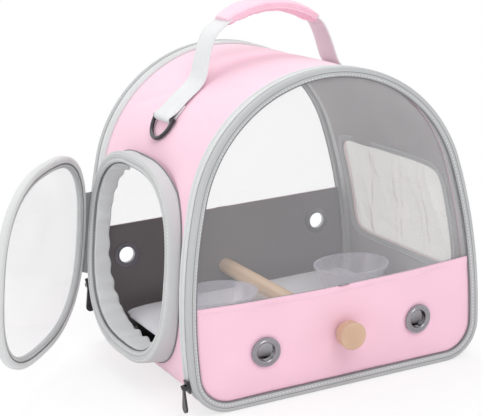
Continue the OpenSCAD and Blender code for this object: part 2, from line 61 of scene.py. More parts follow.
# %% Camera
MM = 0.001
PHOTO_WIDTH_PX = 482
FOCAL_PX = 1457.41
SENSOR_MM = 36.0
eye = np.array([-608.2, -1256.4, 501.5])
yaw, pitch, roll = 0.42823, -0.2486, -0.06037


def add_object(name, data):
    """An object that holds the data, linked to the scene."""
    obj = bpy.data.objects.new(name, data)
    bpy.context.scene.collection.objects.link(obj)
    return obj


def set_axes(obj, x, y, z, place):
    """Gives an object its three axes and its place in metres, as the columns of a matrix."""
    obj.matrix_world = Matrix(np.vstack([np.column_stack([x, y, z, place]), [0, 0, 0, 1]]).tolist())


look = np.array([math.sin(yaw) * math.cos(pitch), math.cos(yaw) * math.cos(pitch), math.sin(pitch)])
level = np.array([math.cos(yaw), -math.sin(yaw), 0.0])
rise = np.cross(level, look)
camera = add_object("camera", bpy.data.cameras.new("camera"))
set_axes(camera, math.cos(roll) * level + math.sin(roll) * rise, -math.sin(roll) * level + math.cos(roll) * rise,
         -look, eye * MM)
camera.data.sensor_width = SENSOR_MM
camera.data.lens = FOCAL_PX / PHOTO_WIDTH_PX * SENSOR_MM
bpy.context.scene.camera = camera
bpy.context.scene.view_settings.view_transform = "Standard"
print("lens, mm:", round(camera.data.lens, 2))

# %% [markdown]
# ## Light
# Three broad lamps and a plain world make a soft studio. The world shows white
# to the camera and to glossy and clear surfaces, and lights the cloth with less,
# so the background is white while the pale cloth keeps its shade. The helpers
# below make a shader node in one line, here and for every material.

# %% Lamps, node helpers and world
def lamp(name, place, aim, size, watts):
    """An area lamp at place that faces aim, both in metres."""
    light = bpy.data.lights.new(name, "AREA")
    light.shape, light.size, light.energy = "DISK", size, watts
    back = np.array(place, float) - np.array(aim, float)
    back /= np.linalg.norm(back)
    across = np.cross([0, 0, 1.0], back)
    across /= np.linalg.norm(across)
    set_axes(add_object(name, light), across, np.cross(back, across), back, place)


lamp("key", (-0.2, -1.7, 1.9), (0, 0, 0.12), 1.4, 21)
lamp("left_fill", (-1.8, 0.2, 1.0), (0, 0, 0.15), 1.2, 8)
lamp("top_fill", (0.3, 0.9, 2.0), (0, 0, 0.2), 1.5, 14)


def fill(tree, node, inputs):
    """Sets inputs of a node: each is a value, or a (node, output) pair to link."""
    for key, value in inputs.items():
        if isinstance(value, tuple) and isinstance(value[0], bpy.types.Node):
            tree.links.new(value[0].outputs[value[1]], node.inputs[key])
        else:
            node.inputs[key].default_value = value
    return node


def add(tree, kind, inputs, **settings):
    """A shader node with its settings, and its inputs as fill takes them."""
    node = tree.nodes.new("ShaderNode" + kind)
    for key, value in settings.items():
        setattr(node, key, value)
    return fill(tree, node, inputs)


def maths(tree, operation, *values):
    """A Math node, given as the pair that links to its result."""
    return add(tree, "Math", dict(enumerate(values)), operation=operation), 0


def scaled(tree, value, low, high, start=0.0, end=1.0):
    """Maps a value's range from start to end onto low to high."""
    return add(tree, "MapRange", {"Value": value, "From Min": start, "From Max": end, "To Min": low,
                                  "To Max": high}), "Result"


AMBIENT = 0.62
world = bpy.data.worlds.new("studio")
world.use_nodes = True
bpy.context.scene.world = world
sky = world.node_tree
path = add(sky, "LightPath", {})
mirrored = maths(sky, "MAXIMUM", (path, "Is Glossy Ray"), (path, "Is Transmission Ray"))
seen = maths(sky, "MAXIMUM", (path, "Is Camera Ray"), mirrored)
fill(sky, sky.nodes["Background"], {"Strength": scaled(sky, seen, AMBIENT, 1.0), "Color": (1, 1, 1, 1)})

# %% [markdown]
# ## Helpers for surfaces
# Every cloth piece is a grid of points, worked out as whole arrays in
# millimetres. One function turns a grid into faces, and one makes the object,
# gives it its cloth map, its body, its slot and its material. A surface is the
# pair of a slot and a material.

# %% Grids, pieces and sweeps
def srgb(r, g, b):
    """The linear colour of three values from 0 to 255."""
    c = np.array([r, g, b]) / 255
    return tuple(np.where(c <= 0.04045, c / 12.92, ((c + 0.055) / 1.055) ** 2.4)) + (1.0,)


def grid_quads(m, n, round_m=False, round_n=False):
    """Quads of an m x n grid, and for each corner its row and column without wrapping."""
    i, j = np.meshgrid(np.arange(m if round_m else m - 1), np.arange(n if round_n else n - 1), indexing="ij")
    rows = np.stack([i, i + 1, i + 1, i], -1).reshape(-1, 4)
    cols = np.stack([j, j, j + 1, j + 1], -1).reshape(-1, 4)
    return (rows % m) * n + cols % n, rows, cols


def fan(ring, tip):
    """Triangles from a row of point numbers to one tip."""
    return np.stack([np.full(len(ring) - 1, tip), ring[1:], ring[:-1]], -1)


def volume(points, faces):
    """Six times the signed volume: the sum of a . (b x c) over a fan of each face."""
    total = 0.0
    for f in faces:
        for k in range(1, f.shape[1] - 1):
            total += np.einsum("ij,ij", points[f[:, 0]], np.cross(points[f[:, k]], points[f[:, k + 1]]))
    return total


def piece(name, points, faces, body, surface, hides=(), uv=None, closed=True, sharp=40, ride=True):
    """Makes an object of points in mm and a list of face arrays. A closed shape is turned
    so that its faces point outwards. uv holds one pair per face corner, in mm."""
    slot, finish = surface
    points = np.asarray(points, float).reshape(-1, 3)
    if closed and volume(points, faces) < 0:
        faces = [f[:, ::-1] for f in faces]
        uv = None if uv is None else [u[:, ::-1] for u in uv]
    mesh = bpy.data.meshes.new(name)
    mesh.from_pydata((points * MM).tolist(), [], [row for f in faces for row in f.tolist()])
    if uv is not None:
        layer = mesh.uv_layers.new(name="cloth")
        layer.data.foreach_set("uv", np.concatenate([u.reshape(-1, 2) for u in uv]).ravel() * MM)
    mesh.polygons.foreach_set("use_smooth", np.ones(len(mesh.polygons), bool))
    mesh.set_sharp_from_angle(angle=math.radians(sharp))
    mesh.materials.append(finish)
    mesh.update()
    obj = add_object(name, mesh)
    if hides:
        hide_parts(*hides)
    if ride:
        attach(obj, body)
    print(name, len(mesh.vertices), "points")
    return obj


def grid_piece(name, points, u, v, body, surface, round_m=False, round_n=False, keep=None, caps=False,
               flip=False, **rest):
    """A grid of (m, n, 3) points as a piece. u and v are the lengths along its rows and
    columns for the cloth map, and keep is a mask of the points that stay."""
    m, n = points.shape[:2]
    quads, rows, cols = grid_quads(m, n, round_m, round_n)
    maps = np.stack([u[rows], v[cols]], -1)
    if keep is not None:
        stays = keep.ravel()[quads].any(1)
        quads, maps = quads[stays], maps[stays]
    if flip:
        quads, maps = quads[:, ::-1], maps[:, ::-1]
    faces, uv = [quads], [maps]
    if caps:
        ring = np.arange(n)
        ends = np.stack([ring[::-1], (m - 1) * n + ring])
        faces.append(ends)
        uv.append(np.stack([np.zeros(ends.shape), np.broadcast_to(v[ring], ends.shape)], -1))
    return piece(name, points, faces, body, surface, uv=uv, **rest)


def squared(angle, power):
    """Cosine and sine, each with its size to a power: below 1 the circle grows squarer."""
    return [np.sign(f(angle)) * abs(f(angle)) ** power for f in (np.cos, np.sin)]


def superellipse(width, height, power, count):
    """A rounded section: width/2 |cos t|^power and height/2 |sin t|^power with their signs."""
    c, s = squared(np.arange(count) * 2 * np.pi / count, power)
    return np.c_[width / 2 * c, height / 2 * s]


def lengths(path, closed=False):
    """Length along a path at each point, and round to the first one on a closed path."""
    run = np.vstack([path, path[:1]]) if closed else path
    return np.r_[0, np.cumsum(np.linalg.norm(np.diff(run, axis=0), axis=1))]


def even(path, pitch, closed=False, also=()):
    """Points at an even pitch along a path, with other arrays read at the same places."""
    s = lengths(path, closed)
    count = max(2, int(round(s[-1] / pitch)))
    at = np.arange(count) * s[-1] / count if closed else np.linspace(0, s[-1], count + 1)

    def read(a):
        a = np.vstack([a, a[:1]]) if closed else a
        return np.stack([np.interp(at, s, a[:, k]) for k in range(a.shape[1])], -1)
    return [read(a) for a in (path,) + tuple(also)]


def rounded(path, times):
    """Cuts the corners of an open path: each leg keeps its middle half, again and again."""
    for _ in range(times):
        a, b = path[:-1], path[1:]
        cut = np.stack([0.75 * a + 0.25 * b, 0.25 * a + 0.75 * b], 1).reshape(-1, path.shape[1])
        path = np.vstack([path[:1], cut, path[-1:]])
    return path


def unit(a):
    """Each vector divided by its length."""
    return a / np.linalg.norm(a, axis=-1, keepdims=True)


def tangents(path, closed=False):
    """Directions along a path, from the points before and after."""
    if closed:
        return unit(np.roll(path, -1, 0) - np.roll(path, 1, 0))
    return unit(np.gradient(path, axis=0))


def sweep(path, across, up, section):
    """point = path + a across + b up for each point (a, b) of the section.
    The section is one (n, 2) array, or one for each place, as (m, n, 2)."""
    section = np.broadcast_to(section, (len(path),) + section.shape[-2:])
    return path[:, None] + section[..., :1] * across[:, None] + section[..., 1:] * up[:, None]


def tube(name, path, across, up, section, body, surface, closed, **rest):
    """A section swept along a path, as a piece. An open path gets end caps."""
    return grid_piece(name, sweep(path, across, up, section), lengths(path, closed), lengths(section, True),
                      body, surface, closed, True, caps=not closed, **rest)


def waves(u, v, seed, size, count=7):
    """A smooth field from about -1 to 1: sine waves in random directions added up, whose
    lengths lie round size. It stands for the chance unevenness of cloth."""
    rng = np.random.default_rng(seed)
    turn, phase = rng.uniform(0, np.pi, count), rng.uniform(0, 2 * np.pi, count)
    k = 2 * np.pi / (size * rng.uniform(0.6, 1.6, count))
    field = sum(np.sin(k[i] * (u * math.cos(turn[i]) + v * math.sin(turn[i])) + phase[i]) for i in range(count))
    return field / math.sqrt(count * 2)


# %% Stitches, teeth and thickness
STITCH = (2.4, 0.75, 0.6)
STITCH_PITCH = 3.4
bead_ring = np.array([[0, 1], [1, 0], [0, -1], [-1, 0]]) * 0.5
bead_rings = [np.c_[np.full(4, x), r * bead_ring] for x, r in ((-0.36, 0.8), (0, 1), (0.36, 0.8))]
BEAD = np.vstack([[-0.5, 0, 0]] + bead_rings + [[0.5, 0, 0]])
k4 = np.arange(4)
next4 = (k4 + 1) % 4
BEAD_QUADS = np.vstack([np.c_[1 + k4, 1 + next4, 5 + next4, 5 + k4] + 4 * g for g in (0, 1)])
BEAD_TRIS = np.vstack([np.c_[0 * k4, 1 + next4, 1 + k4], np.c_[13 + 0 * k4, 9 + k4, 9 + next4]])


def beads(name, at, along, out, size, body, surface, hides=(), ride=True):
    """Stitches or zip teeth: one small rounded bead at each place. size is its length
    along the path, its width across and its height outwards."""
    axes = [along, np.cross(out, along), out]
    t = BEAD * np.array(size)
    points = at[:, None]
    for k, axis in enumerate(axes):
        points = points + t[None, :, k:k + 1] * axis[:, None]
    step = (np.arange(len(at)) * len(BEAD))[:, None, None]
    faces = [(BEAD_QUADS[None] + step).reshape(-1, 4), (BEAD_TRIS[None] + step).reshape(-1, 3)]
    return piece(name, points, faces, body, surface, hides=hides, sharp=180, ride=ride)


def stitch_row(name, path, out, body, surface, pitch=STITCH_PITCH, size=STITCH, closed=False, **rest):
    """A row of stitches at an even pitch along a path, with out as the cloth's normals."""
    at, normal = even(path, pitch, closed, (out,))
    return beads(name, at, tangents(at, closed), unit(normal), size, body, surface, **rest)


def thicken(obj, thickness, offset=-1.0):
    """Gives an open sheet its thickness in mm, to the inside of its faces by default."""
    mod = obj.modifiers.new("thickness", "SOLIDIFY")
    mod.thickness, mod.offset = thickness * MM, offset


# %% [markdown]
# ## Finishes
# The cloth pattern is a shader group that is built once. It reads the piece's
# own map in metres, so the threads follow the cloth. A second group gives slow
# changes of tone, and a third gives the grain of wood.

# %% Shader groups
def new_group(name, inputs, outputs):
    """A node group with float or vector sockets, given as (name, default) pairs."""
    tree = bpy.data.node_groups.new(name, "ShaderNodeTree")
    for label, value in inputs:
        kind = "NodeSocketVector" if value is None else "NodeSocketFloat"
        socket = tree.interface.new_socket(label, in_out="INPUT", socket_type=kind)
        if value is not None:
            socket.default_value = value
    for label in outputs:
        tree.interface.new_socket(label, in_out="OUTPUT", socket_type="NodeSocketFloat")
    return tree, tree.nodes.new("NodeGroupInput"), tree.nodes.new("NodeGroupOutput")


def weave_group():
    """Plain weave: height = sin(threads x) sin(threads y) + ribs |sin(threads y)|, brought
    to the range of about 0 to 1."""
    tree, inp, out = new_group("woven threads", [("Vector", None), ("Threads", 800.0), ("Ribs", 0.0)], ["Height"])
    apart = add(tree, "SeparateXYZ", {"Vector": (inp, "Vector")})
    rate = maths(tree, "MULTIPLY", (inp, "Threads"), 6.2832)
    along, across = [maths(tree, "SINE", maths(tree, "MULTIPLY", (apart, axis), rate)) for axis in "XY"]
    rib = maths(tree, "MULTIPLY", maths(tree, "ABSOLUTE", across), (inp, "Ribs"))
    both = maths(tree, "ADD", maths(tree, "MULTIPLY", along, across), rib)
    fill(tree, out, {"Height": maths(tree, "MULTIPLY_ADD", both, 0.35, 0.5)})
    return tree


def tone_group():
    """Slow changes of tone and fine specks, from two scales of noise."""
    tree, inp, out = new_group("slow tone", [("Vector", None), ("Scale", 12.0)], ["Tone", "Speck"])
    for label, scale in (("Tone", (inp, "Scale")), ("Speck", maths(tree, "MULTIPLY", (inp, "Scale"), 25.0))):
        noise = add(tree, "TexNoise", {"Vector": (inp, "Vector"), "Scale": scale})
        fill(tree, out, {label: (noise, 0)})
    return tree


def grain_group():
    """Wood: rings round the length, bent by noise, with fine pores along the length."""
    tree, inp, out = new_group("wood grain", [("Vector", None), ("Rings", 160.0)], ["Rings", "Pores"])
    squeeze = add(tree, "Mapping", {"Vector": (inp, "Vector"), "Scale": (1.0, 0.08, 1.0),
                                    "Location": (0.012, 0, -0.05)})
    rings = add(tree, "TexWave", {"Vector": (squeeze, 0), "Scale": (inp, "Rings"), "Distortion": 2.2, "Detail": 2.0},
                wave_type="RINGS", rings_direction="Y")
    pores = add(tree, "TexNoise", {"Vector": (squeeze, 0), "Scale": 1500})
    fill(tree, out, {"Rings": (rings, "Fac"), "Pores": (pores, 0)})
    return tree


WEAVE, TONE, GRAIN = weave_group(), tone_group(), grain_group()


# %% Materials
THREAD_RELIEF, FINE_RELIEF = 0.0003, 0.0002


def start_material(name, coords="Object"):
    """A material with its Principled shader and the coordinates of its pattern."""
    mat = bpy.data.materials.new(name)
    mat.use_nodes = True
    tree = mat.node_tree
    return mat, tree, tree.nodes["Principled BSDF"], (add(tree, "TexCoord", {}), coords)


def placed(tree, group, where, **values):
    """A group on the given coordinates."""
    return add(tree, "Group", {"Vector": where, **values}, node_tree=group)


def between(tree, factor, low, high, start=0.3, end=0.7):
    """A colour ramp from low to high, as the factor goes from start to end."""
    ramp = add(tree, "ValToRGB", {"Fac": factor})
    for element, color, position in zip(ramp.color_ramp.elements, (low, high), (start, end)):
        element.color, element.position = color, position
    return ramp, "Color"


def shades(color, spread):
    """A colour a little darker and a little lighter than the given one."""
    c = np.array(color[:3])
    return tuple(c * (1 - spread)) + (1,), tuple(np.minimum(c * (1 + spread), 1)) + (1,)


def weighed(tree, a, a_share, b, b_share):
    """a a_share + b b_share"""
    return maths(tree, "ADD", maths(tree, "MULTIPLY", a, a_share), maths(tree, "MULTIPLY", b, b_share))


def relief(tree, height, strength, distance):
    """A bumpy normal from a height."""
    return add(tree, "Bump", {"Strength": strength, "Distance": distance, "Height": height}), 0


def cloth(name, color, threads=900, ribs=0.0, rough=0.85, bump=0.25, sheen=0.25, spread=0.06, coords="UV",
          alpha=None):
    """Woven cloth: thread bumps, a slow change of tone, and a soft sheen. alpha is the
    height above which a thread is, and how much less there is of the cloth between."""
    mat, tree, shader, where = start_material(name, coords)
    height = placed(tree, WEAVE, where, Threads=threads, Ribs=ribs), "Height"
    tone = placed(tree, TONE, where, Scale=14.0), "Tone"
    mixed = weighed(tree, tone, 0.6, height, 0.4)
    fill(tree, shader, {"Base Color": between(tree, mixed, *shades(color, spread)), "Roughness": rough,
                        "Normal": relief(tree, height, bump, THREAD_RELIEF), "Sheen Weight": sheen,
                        "Specular IOR Level": 0.3})
    if alpha is not None:
        threads_at = maths(tree, "GREATER_THAN", height, alpha[0])
        fill(tree, shader, {"Alpha": maths(tree, "MULTIPLY_ADD", threads_at, alpha[1], 1 - alpha[1])})
    return mat


def clear_sheet(name, tint, low, high, rough=0.06):
    """Clear flexible sheet: thin, so it is an alpha that grows towards the edges of the
    view, and it keeps its gloss there."""
    mat, tree, shader, where = start_material(name)
    tone = placed(tree, TONE, where, Scale=9.0)
    facing = add(tree, "LayerWeight", {"Blend": 0.35})
    fill(tree, shader, {"Base Color": between(tree, (tone, "Tone"), *shades(tint, 0.02)),
                        "Alpha": scaled(tree, (facing, "Facing"), low, high),
                        "Roughness": scaled(tree, (tone, "Speck"), rough, rough + 0.1),
                        "Specular IOR Level": 0.8})
    return mat


def solid(name, color, rough, metallic=0.0, spread=0.08, coat=0.0):
    """Painted metal, plated metal or plastic: a fine speck in its tone, gloss and relief."""
    mat, tree, shader, where = start_material(name)
    tone = placed(tree, TONE, where, Scale=40.0)
    fill(tree, shader, {"Base Color": between(tree, (tone, "Tone"), *shades(color, spread)),
                        "Roughness": scaled(tree, (tone, "Speck"), rough * 0.8, min(rough * 1.25, 1)),
                        "Normal": relief(tree, (tone, "Speck"), 0.08, FINE_RELIEF), "Metallic": metallic,
                        "Coat Weight": coat})
    return mat


def wood(name, light, dark, rings):
    """Bare sanded beech: soft rings and short pores along the grain."""
    mat, tree, shader, where = start_material(name)
    grain = placed(tree, GRAIN, where, Rings=rings)
    mixed = weighed(tree, (grain, "Rings"), 0.55, (grain, "Pores"), 0.45)
    fill(tree, shader, {"Base Color": between(tree, mixed, light, dark, 0.2, 0.85), "Roughness": 0.55,
                        "Normal": relief(tree, mixed, 0.3, FINE_RELIEF)})
    return mat


PINK_CLOTH = "pink_cloth", cloth("pink oxford cloth", srgb(248, 203, 220), rough=0.72, sheen=0.5)
GREY_LINING = "grey_lining", cloth("grey lining", srgb(176, 171, 173), threads=1100, spread=0.08)
# The rear skirt's lining is the same grey cloth as the cabin lining, made darker: painted shade, for the rear wall
# that lies in shadow.
PAINTED_SHADE_LINING = "grey_lining", cloth("grey lining with painted shade", srgb(134, 128, 130), threads=1100, spread=0.08)
tape_weave = dict(threads=700, ribs=0.6, bump=0.4)
LIGHT_TAPE = "light_binding", cloth("light binding tape", srgb(212, 214, 214), **tape_weave)
COLLAR_TAPE = "light_binding", cloth("collar binding tape", srgb(196, 197, 198), **tape_weave)
MID_TAPE = "mid_binding", cloth("mid grey binding tape", srgb(184, 186, 187), **tape_weave)
HINGE_TAPE = "mid_binding", cloth("hinge strip tape", srgb(152, 153, 155), **tape_weave)
LIP_CLOTH = "mid_binding", cloth("gathered edging", srgb(220, 221, 222))
WEBBING = "webbing", cloth("woven webbing", srgb(222, 223, 224), threads=420, ribs=1.2, bump=0.6)
MESH_CLOTH = "mesh_cloth", cloth("breathing mesh", srgb(246, 242, 234), threads=520, bump=0.5, alpha=(0.48, 0.78))
MAT_CLOTH = "mat_cloth", cloth("padded mat cloth", srgb(233, 232, 237), coords="Object")
thread = solid("sewing thread", srgb(232, 234, 234), 0.7)
LIGHT_THREAD, MID_THREAD, WEB_THREAD = [(slot, thread) for slot in ("light_binding", "mid_binding", "webbing")]
PINK_THREAD = "pink_cloth", solid("pink sewing thread", srgb(253, 224, 238), 0.7)
# Dark thread for the binding seams. The same material makes the dark cords that are painted shadow lines.
dark_thread_and_painted_shadow = solid("dark thread and painted shadow lines", srgb(128, 126, 130), 0.7)
PAINTED_SHADOW_CORD, DARK_SEAM = ("zip_coil", dark_thread_and_painted_shadow), ("mid_binding", dark_thread_and_painted_shadow)
ZIP_COIL = "zip_coil", solid("zip coil", srgb(116, 117, 120), 0.45)
CLEAR_SHEET = "clear_sheet", clear_sheet("clear sheet", srgb(250, 250, 254), 0.065, 0.32)
clear_bowl = clear_sheet("clear bowl plastic", srgb(222, 218, 230), 0.30, 0.75, rough=0.12)
nickel = solid("dark nickel", srgb(150, 148, 152), 0.24, metallic=1.0, spread=0.05)
black_metal = solid("black painted metal", srgb(34, 34, 37), 0.35, coat=0.3)
zinc = solid("zinc plated screw", srgb(170, 170, 172), 0.35, metallic=1.0)
# The tray's near black is partly a black board and partly painted shade, for the shadow beneath the mat's edge.
black_board_and_painted_shade = solid("stiff board", srgb(52, 52, 54), 0.7)
beech = wood("bare beech", srgb(240, 208, 174), srgb(228, 191, 154), 40.0)
# The knobs' beech is darker than the perch's: partly darker end grain, partly painted shade, for the knob face that is
# turned from the light.
knob_beech_with_painted_shade = wood("turned beech with painted shade", srgb(212, 178, 152), srgb(204, 170, 144), 12.0)
print("materials:", len(bpy.data.materials))


# %% Floor
def paper_floor():
    """White paper. The camera sees it fade to plain white with the distance r from the
    carrier: the share of white goes from 0.7 at r = 0.25 m to 1 at r = 0.7 m."""
    mat, tree, shader, where = start_material("paper floor")
    tone = placed(tree, TONE, where, Scale=3.0)
    fill(tree, shader, {"Base Color": between(tree, (tone, "Tone"), *shades(srgb(250, 250, 250), 0.005)),
                        "Roughness": 0.9})
    away = add(tree, "VectorMath", {0: where}, operation="LENGTH")
    fade = scaled(tree, (away, "Value"), 0.7, 1.0, 0.25, 0.7)
    seen = maths(tree, "MULTIPLY", fade, (add(tree, "LightPath", {}), "Is Camera Ray"))
    mix = add(tree, "MixShader", {0: seen, 1: (shader, 0), 2: (add(tree, "Emission", {}), 0)})
    fill(tree, tree.nodes["Material Output"], {"Surface": (mix, 0)})
    return mat


FLOOR_HALF = 6000.0
floor_points = np.array([[-1, -1, 0], [1, -1, 0], [1, 1, 0], [-1, 1, 0]]) * FLOOR_HALF
floor_mesh = bpy.data.meshes.new("floor")
floor_mesh.from_pydata((floor_points * MM).tolist(), [], [[0, 1, 2, 3]])
floor_mesh.materials.append(paper_floor())
floor = add_object("floor", floor_mesh)

# %% [markdown]
# ## The arch
# The outline of the shell is five arcs, each tangent to the next: two bottom
# corners, two long sides and the top. Every band, tape and sheet is measured
# from it by its inset, so the same numbers place them all.

# %% Arch outline
SHELL_H, TOP_R, SIDE_R, CORNER_R, CORNER_X = 300.0, 140.0, 500.0, 38.0, 114.0
WRAP_D, PANEL_Y, WRAP_INSET, BINDING_W = 110.0, 125.0, 3.5, 9.0
ARC_STEPS, BOTTOM_STEPS = 400, 200

top_c, corner_c = np.array([0, SHELL_H - TOP_R]), np.array([CORNER_X, CORNER_R])
centre_gap = np.linalg.norm(corner_c - top_c)
toward = (corner_c - top_c) / centre_gap
side_along = ((SIDE_R - TOP_R) ** 2 - (SIDE_R - CORNER_R) ** 2 + centre_gap ** 2) / (2 * centre_gap)
side_off = math.sqrt((SIDE_R - TOP_R) ** 2 - side_along ** 2)
side_c = top_c + side_along * toward - side_off * np.array([-toward[1], toward[0]])
top_a = math.degrees(math.atan2(*(top_c - side_c)[::-1]))
low_a = math.degrees(math.atan2(*(corner_c - side_c)[::-1]))
mirror = np.array([-1, 1])
arcs = [(corner_c, CORNER_R, -90, low_a), (side_c, SIDE_R, low_a, top_a), (top_c, TOP_R, top_a, 180 - top_a),
        (side_c * mirror, SIDE_R, 180 - top_a, 180 - low_a), (corner_c * mirror, CORNER_R, 180 - low_a, 270)]
turns = [np.radians(np.linspace(a0, a1, ARC_STEPS)) for _, _, a0, a1 in arcs]
ARCH_N = np.concatenate([np.c_[np.cos(t), np.sin(t)] for t in turns])
ARCH_P = np.concatenate([c + r * np.c_[np.cos(t), np.sin(t)] for (c, r, _, _), t in zip(arcs, turns)])
ARCH_S = lengths(ARCH_P)
bottom_x = np.linspace(-CORNER_X, CORNER_X, BOTTOM_STEPS + 2)[1:-1]
LOOP_P = np.vstack([ARCH_P, np.c_[bottom_x, 0 * bottom_x]])
LOOP_N = np.vstack([ARCH_N, np.tile([0.0, -1.0], (BOTTOM_STEPS, 1))])
print("arch length, mm:", round(ARCH_S[-1], 1), " half width:", round(ARCH_P[:, 0].max(), 1))


def on_arch(s, inset):
    """Points (x, z) and normals at length s along the open arch, from its right foot."""
    n = unit(np.stack([np.interp(s, ARCH_S, ARCH_N[:, k]) for k in (0, 1)], -1))
    p = np.stack([np.interp(s, ARCH_S, ARCH_P[:, k]) for k in (0, 1)], -1)
    return p - np.asarray(inset)[..., None] * n, n


def into_space(xz, y):
    """(x, z) pairs with a y, as points."""
    return np.stack([xz[..., 0], np.broadcast_to(y, xz.shape[:-1]), xz[..., 1]], -1)


def ring_piece(name, section, body, surface, **rest):
    """A section carried round the whole arch: point = outline - inset x normal, for each
    (inset, y) of the section."""
    p, n = even(LOOP_P, 4.0, True, (LOOP_N,))
    xz = p[:, None] - section[None, :, :1] * unit(n)[:, None]
    return grid_piece(name, into_space(xz, section[None, :, 1]), lengths(p, True), lengths(section, True), body,
                      surface, True, True, **rest)


def ring_line(inset, y, out=None):
    """A line round the arch at one inset and y, with normals outwards or along out."""
    xz = LOOP_P - inset * LOOP_N
    normal = into_space(LOOP_N, 0.0) if out is None else np.tile(np.array(out, float), (len(xz), 1))
    return into_space(xz, y), normal


# %% [markdown]
# ## Edges of the shell
# Each rim is a stack of layers, seen as bands in the photograph: a corded piping,
# a light zip tape, the teeth and a folded binding round the panel are real layers,
# and a thin dark cord at the binding's inner edge is painted shadow, for the shade
# on the binding's inner wall. All are sections carried round the arch. The
# stitches and teeth are real beads.

# %% Piping, zip tape, teeth and binding
TOOTH_PITCH = 2.2
# The sections are pairs of inset and depth in mm, and the front mirrors the depth
TAPE_SECTION = np.array([[5.7, 121.4], [3.4, 121.4], [1.7, 121.2], [1.0, 120.4], [0.7, 117.0], [1.0, 113.6],
                         [1.9, 112.9], [3.4, 112.6], [5.7, 112.6]])


def edge_layers(where, sign, panel_body):
    """The layers of one rim. sign is -1 at the front and 1 at the rear."""
    def band(name, section, body, surface, *hides):
        ring_piece(f"{where}_{name}", section * [1.0, sign], body, surface, hides=[f"{where}_{h}" for h in hides])

    def row(name, line, body, surface, **rest):
        stitch_row(f"{where}_{name}", *line, body, surface, closed=True, **rest)

    band("corded_piping", superellipse(4.6, 4.3, 1.0, 14) + [2.7, WRAP_D + 0.15], "carrier", LIGHT_TAPE, "piping")
    band("light_tape", TAPE_SECTION, "carrier", LIGHT_TAPE, "zip_tape")
    row("zip_teeth", ring_line(1.6, sign * 121.2), "carrier", ZIP_COIL, pitch=TOOTH_PITCH, size=(1.3, 1.0, 2.2),
        hides=[where + "_zip_coil"])
    row("tape_stitches", ring_line(0.8, sign * 119.6), "carrier", LIGHT_THREAD)
    band("folded_binding", superellipse(8.8, 8.0, 0.55, 20) + [4.6, 126.0], panel_body, MID_TAPE, "binding")
    row("binding_stitches", ring_line(7.2, sign * 129.95, (0, sign, 0)), panel_body, MID_THREAD)
    # A thin dark cord at the binding's inner edge: painted shadow, for the shade on the binding's inner wall.
    band("panel_painted_shadow_cord", superellipse(1.3, 1.6, 1.0, 8) + [9.3, 127.8], panel_body, PAINTED_SHADOW_CORD)
    band("binding_seam", superellipse(0.7, 0.5, 1.0, 8) + [4.6, 129.9], panel_body, DARK_SEAM)


edge_layers("front", -1, "front_panel")
edge_layers("rear", 1, "carrier")

# %% [markdown]
# ## Side doorway plane
# The doorway lies in a plane that leans a little. Its own axes are x to the
# front, y up the lean and z outwards. The rounded oval is a superellipse.

# %% Doorway frame
DOOR_A, DOOR_B, DOOR_RIM, DOOR_Z, DOOR_X, DOOR_Y = 106.0, 97.0, 11.0, 124.0, 158.0, 1.5
DOOR_LEAN, DOOR_OPEN, OVAL_POWER = math.radians(8), math.radians(40), 2.6
RING, OVAL_STEPS = 360, 2880
door_mid = np.array([-DOOR_X, DOOR_Y, DOOR_Z])
DOOR_AXES = np.array([[0, -1, 0], [math.sin(DOOR_LEAN), 0, math.cos(DOOR_LEAN)],
                      [-math.cos(DOOR_LEAN), 0, math.sin(DOOR_LEAN)]])
hinge_p = np.array([-DOOR_X, DOOR_Y + DOOR_A + 1, DOOR_Z])
c, s = math.cos(-DOOR_OPEN), math.sin(-DOOR_OPEN)
OPEN_TURN = np.array([[c, s, 0], [-s, c, 0], [0, 0, 1]])


def from_doorway(local):
    """Points of the doorway's own axes, in the world."""
    return door_mid + np.asarray(local, float) @ DOOR_AXES


def swung(points):
    """Points of the closed door, turned about its upright hinge line to where it stands open."""
    return hinge_p + (points - hinge_p) @ OPEN_TURN


def oval_line(a, b):
    """Rounded oval: a |cos t|^(2/p) and b |sin t|^(2/p), with outward normals, made even."""
    c, s = squared(np.arange(OVAL_STEPS) * 2 * np.pi / OVAL_STEPS, 2 / OVAL_POWER)
    p = np.c_[a * c, b * s]
    p, = even(p, lengths(p, True)[-1] / RING, True)
    d = tangents(p, True)
    return p, np.c_[d[:, 1], -d[:, 0]]


def wall_depth(xy, inset):
    """The doorway's z of the wall behind points (x, y): the height gives the wall's x, and
    the wall's x gives the height again, a few times over."""
    z = np.full(xy.shape[:-1], -8.0)
    left_side = slice(3 * ARC_STEPS, None)
    wall = ARCH_P[left_side] - inset * ARCH_N[left_side]
    for _ in range(8):
        world = from_doorway(np.concatenate([xy, z[..., None]], -1))
        want = np.interp(world[..., 2], wall[::-1, 1], wall[::-1, 0])
        z = z + (world[..., 0] - want) / math.cos(DOOR_LEAN)
    return z


def snap_out(xy, a, b):
    """Points inside the oval go out to its edge along the ray from its middle. Also says
    which points were outside."""
    g = (np.abs(xy[..., 0] / a) ** OVAL_POWER + np.abs(xy[..., 1] / b) ** OVAL_POWER) ** (1 / OVAL_POWER)
    return xy / np.where(g < 1, np.maximum(g, 1e-6), 1)[..., None], g >= 1


# %% [markdown]
# ## Outer wrap and lining
# One padded cloth goes from foot to foot over the top. It is a grid of length
# along the arch and depth. It swells a little between its rims, dips along the
# sewn edges and has soft creases below the handle. The lining is the same grid
# further in, with looser folds. Grid points inside the doorway or the mesh
# window are moved out to its edge, which leaves a clean hole.

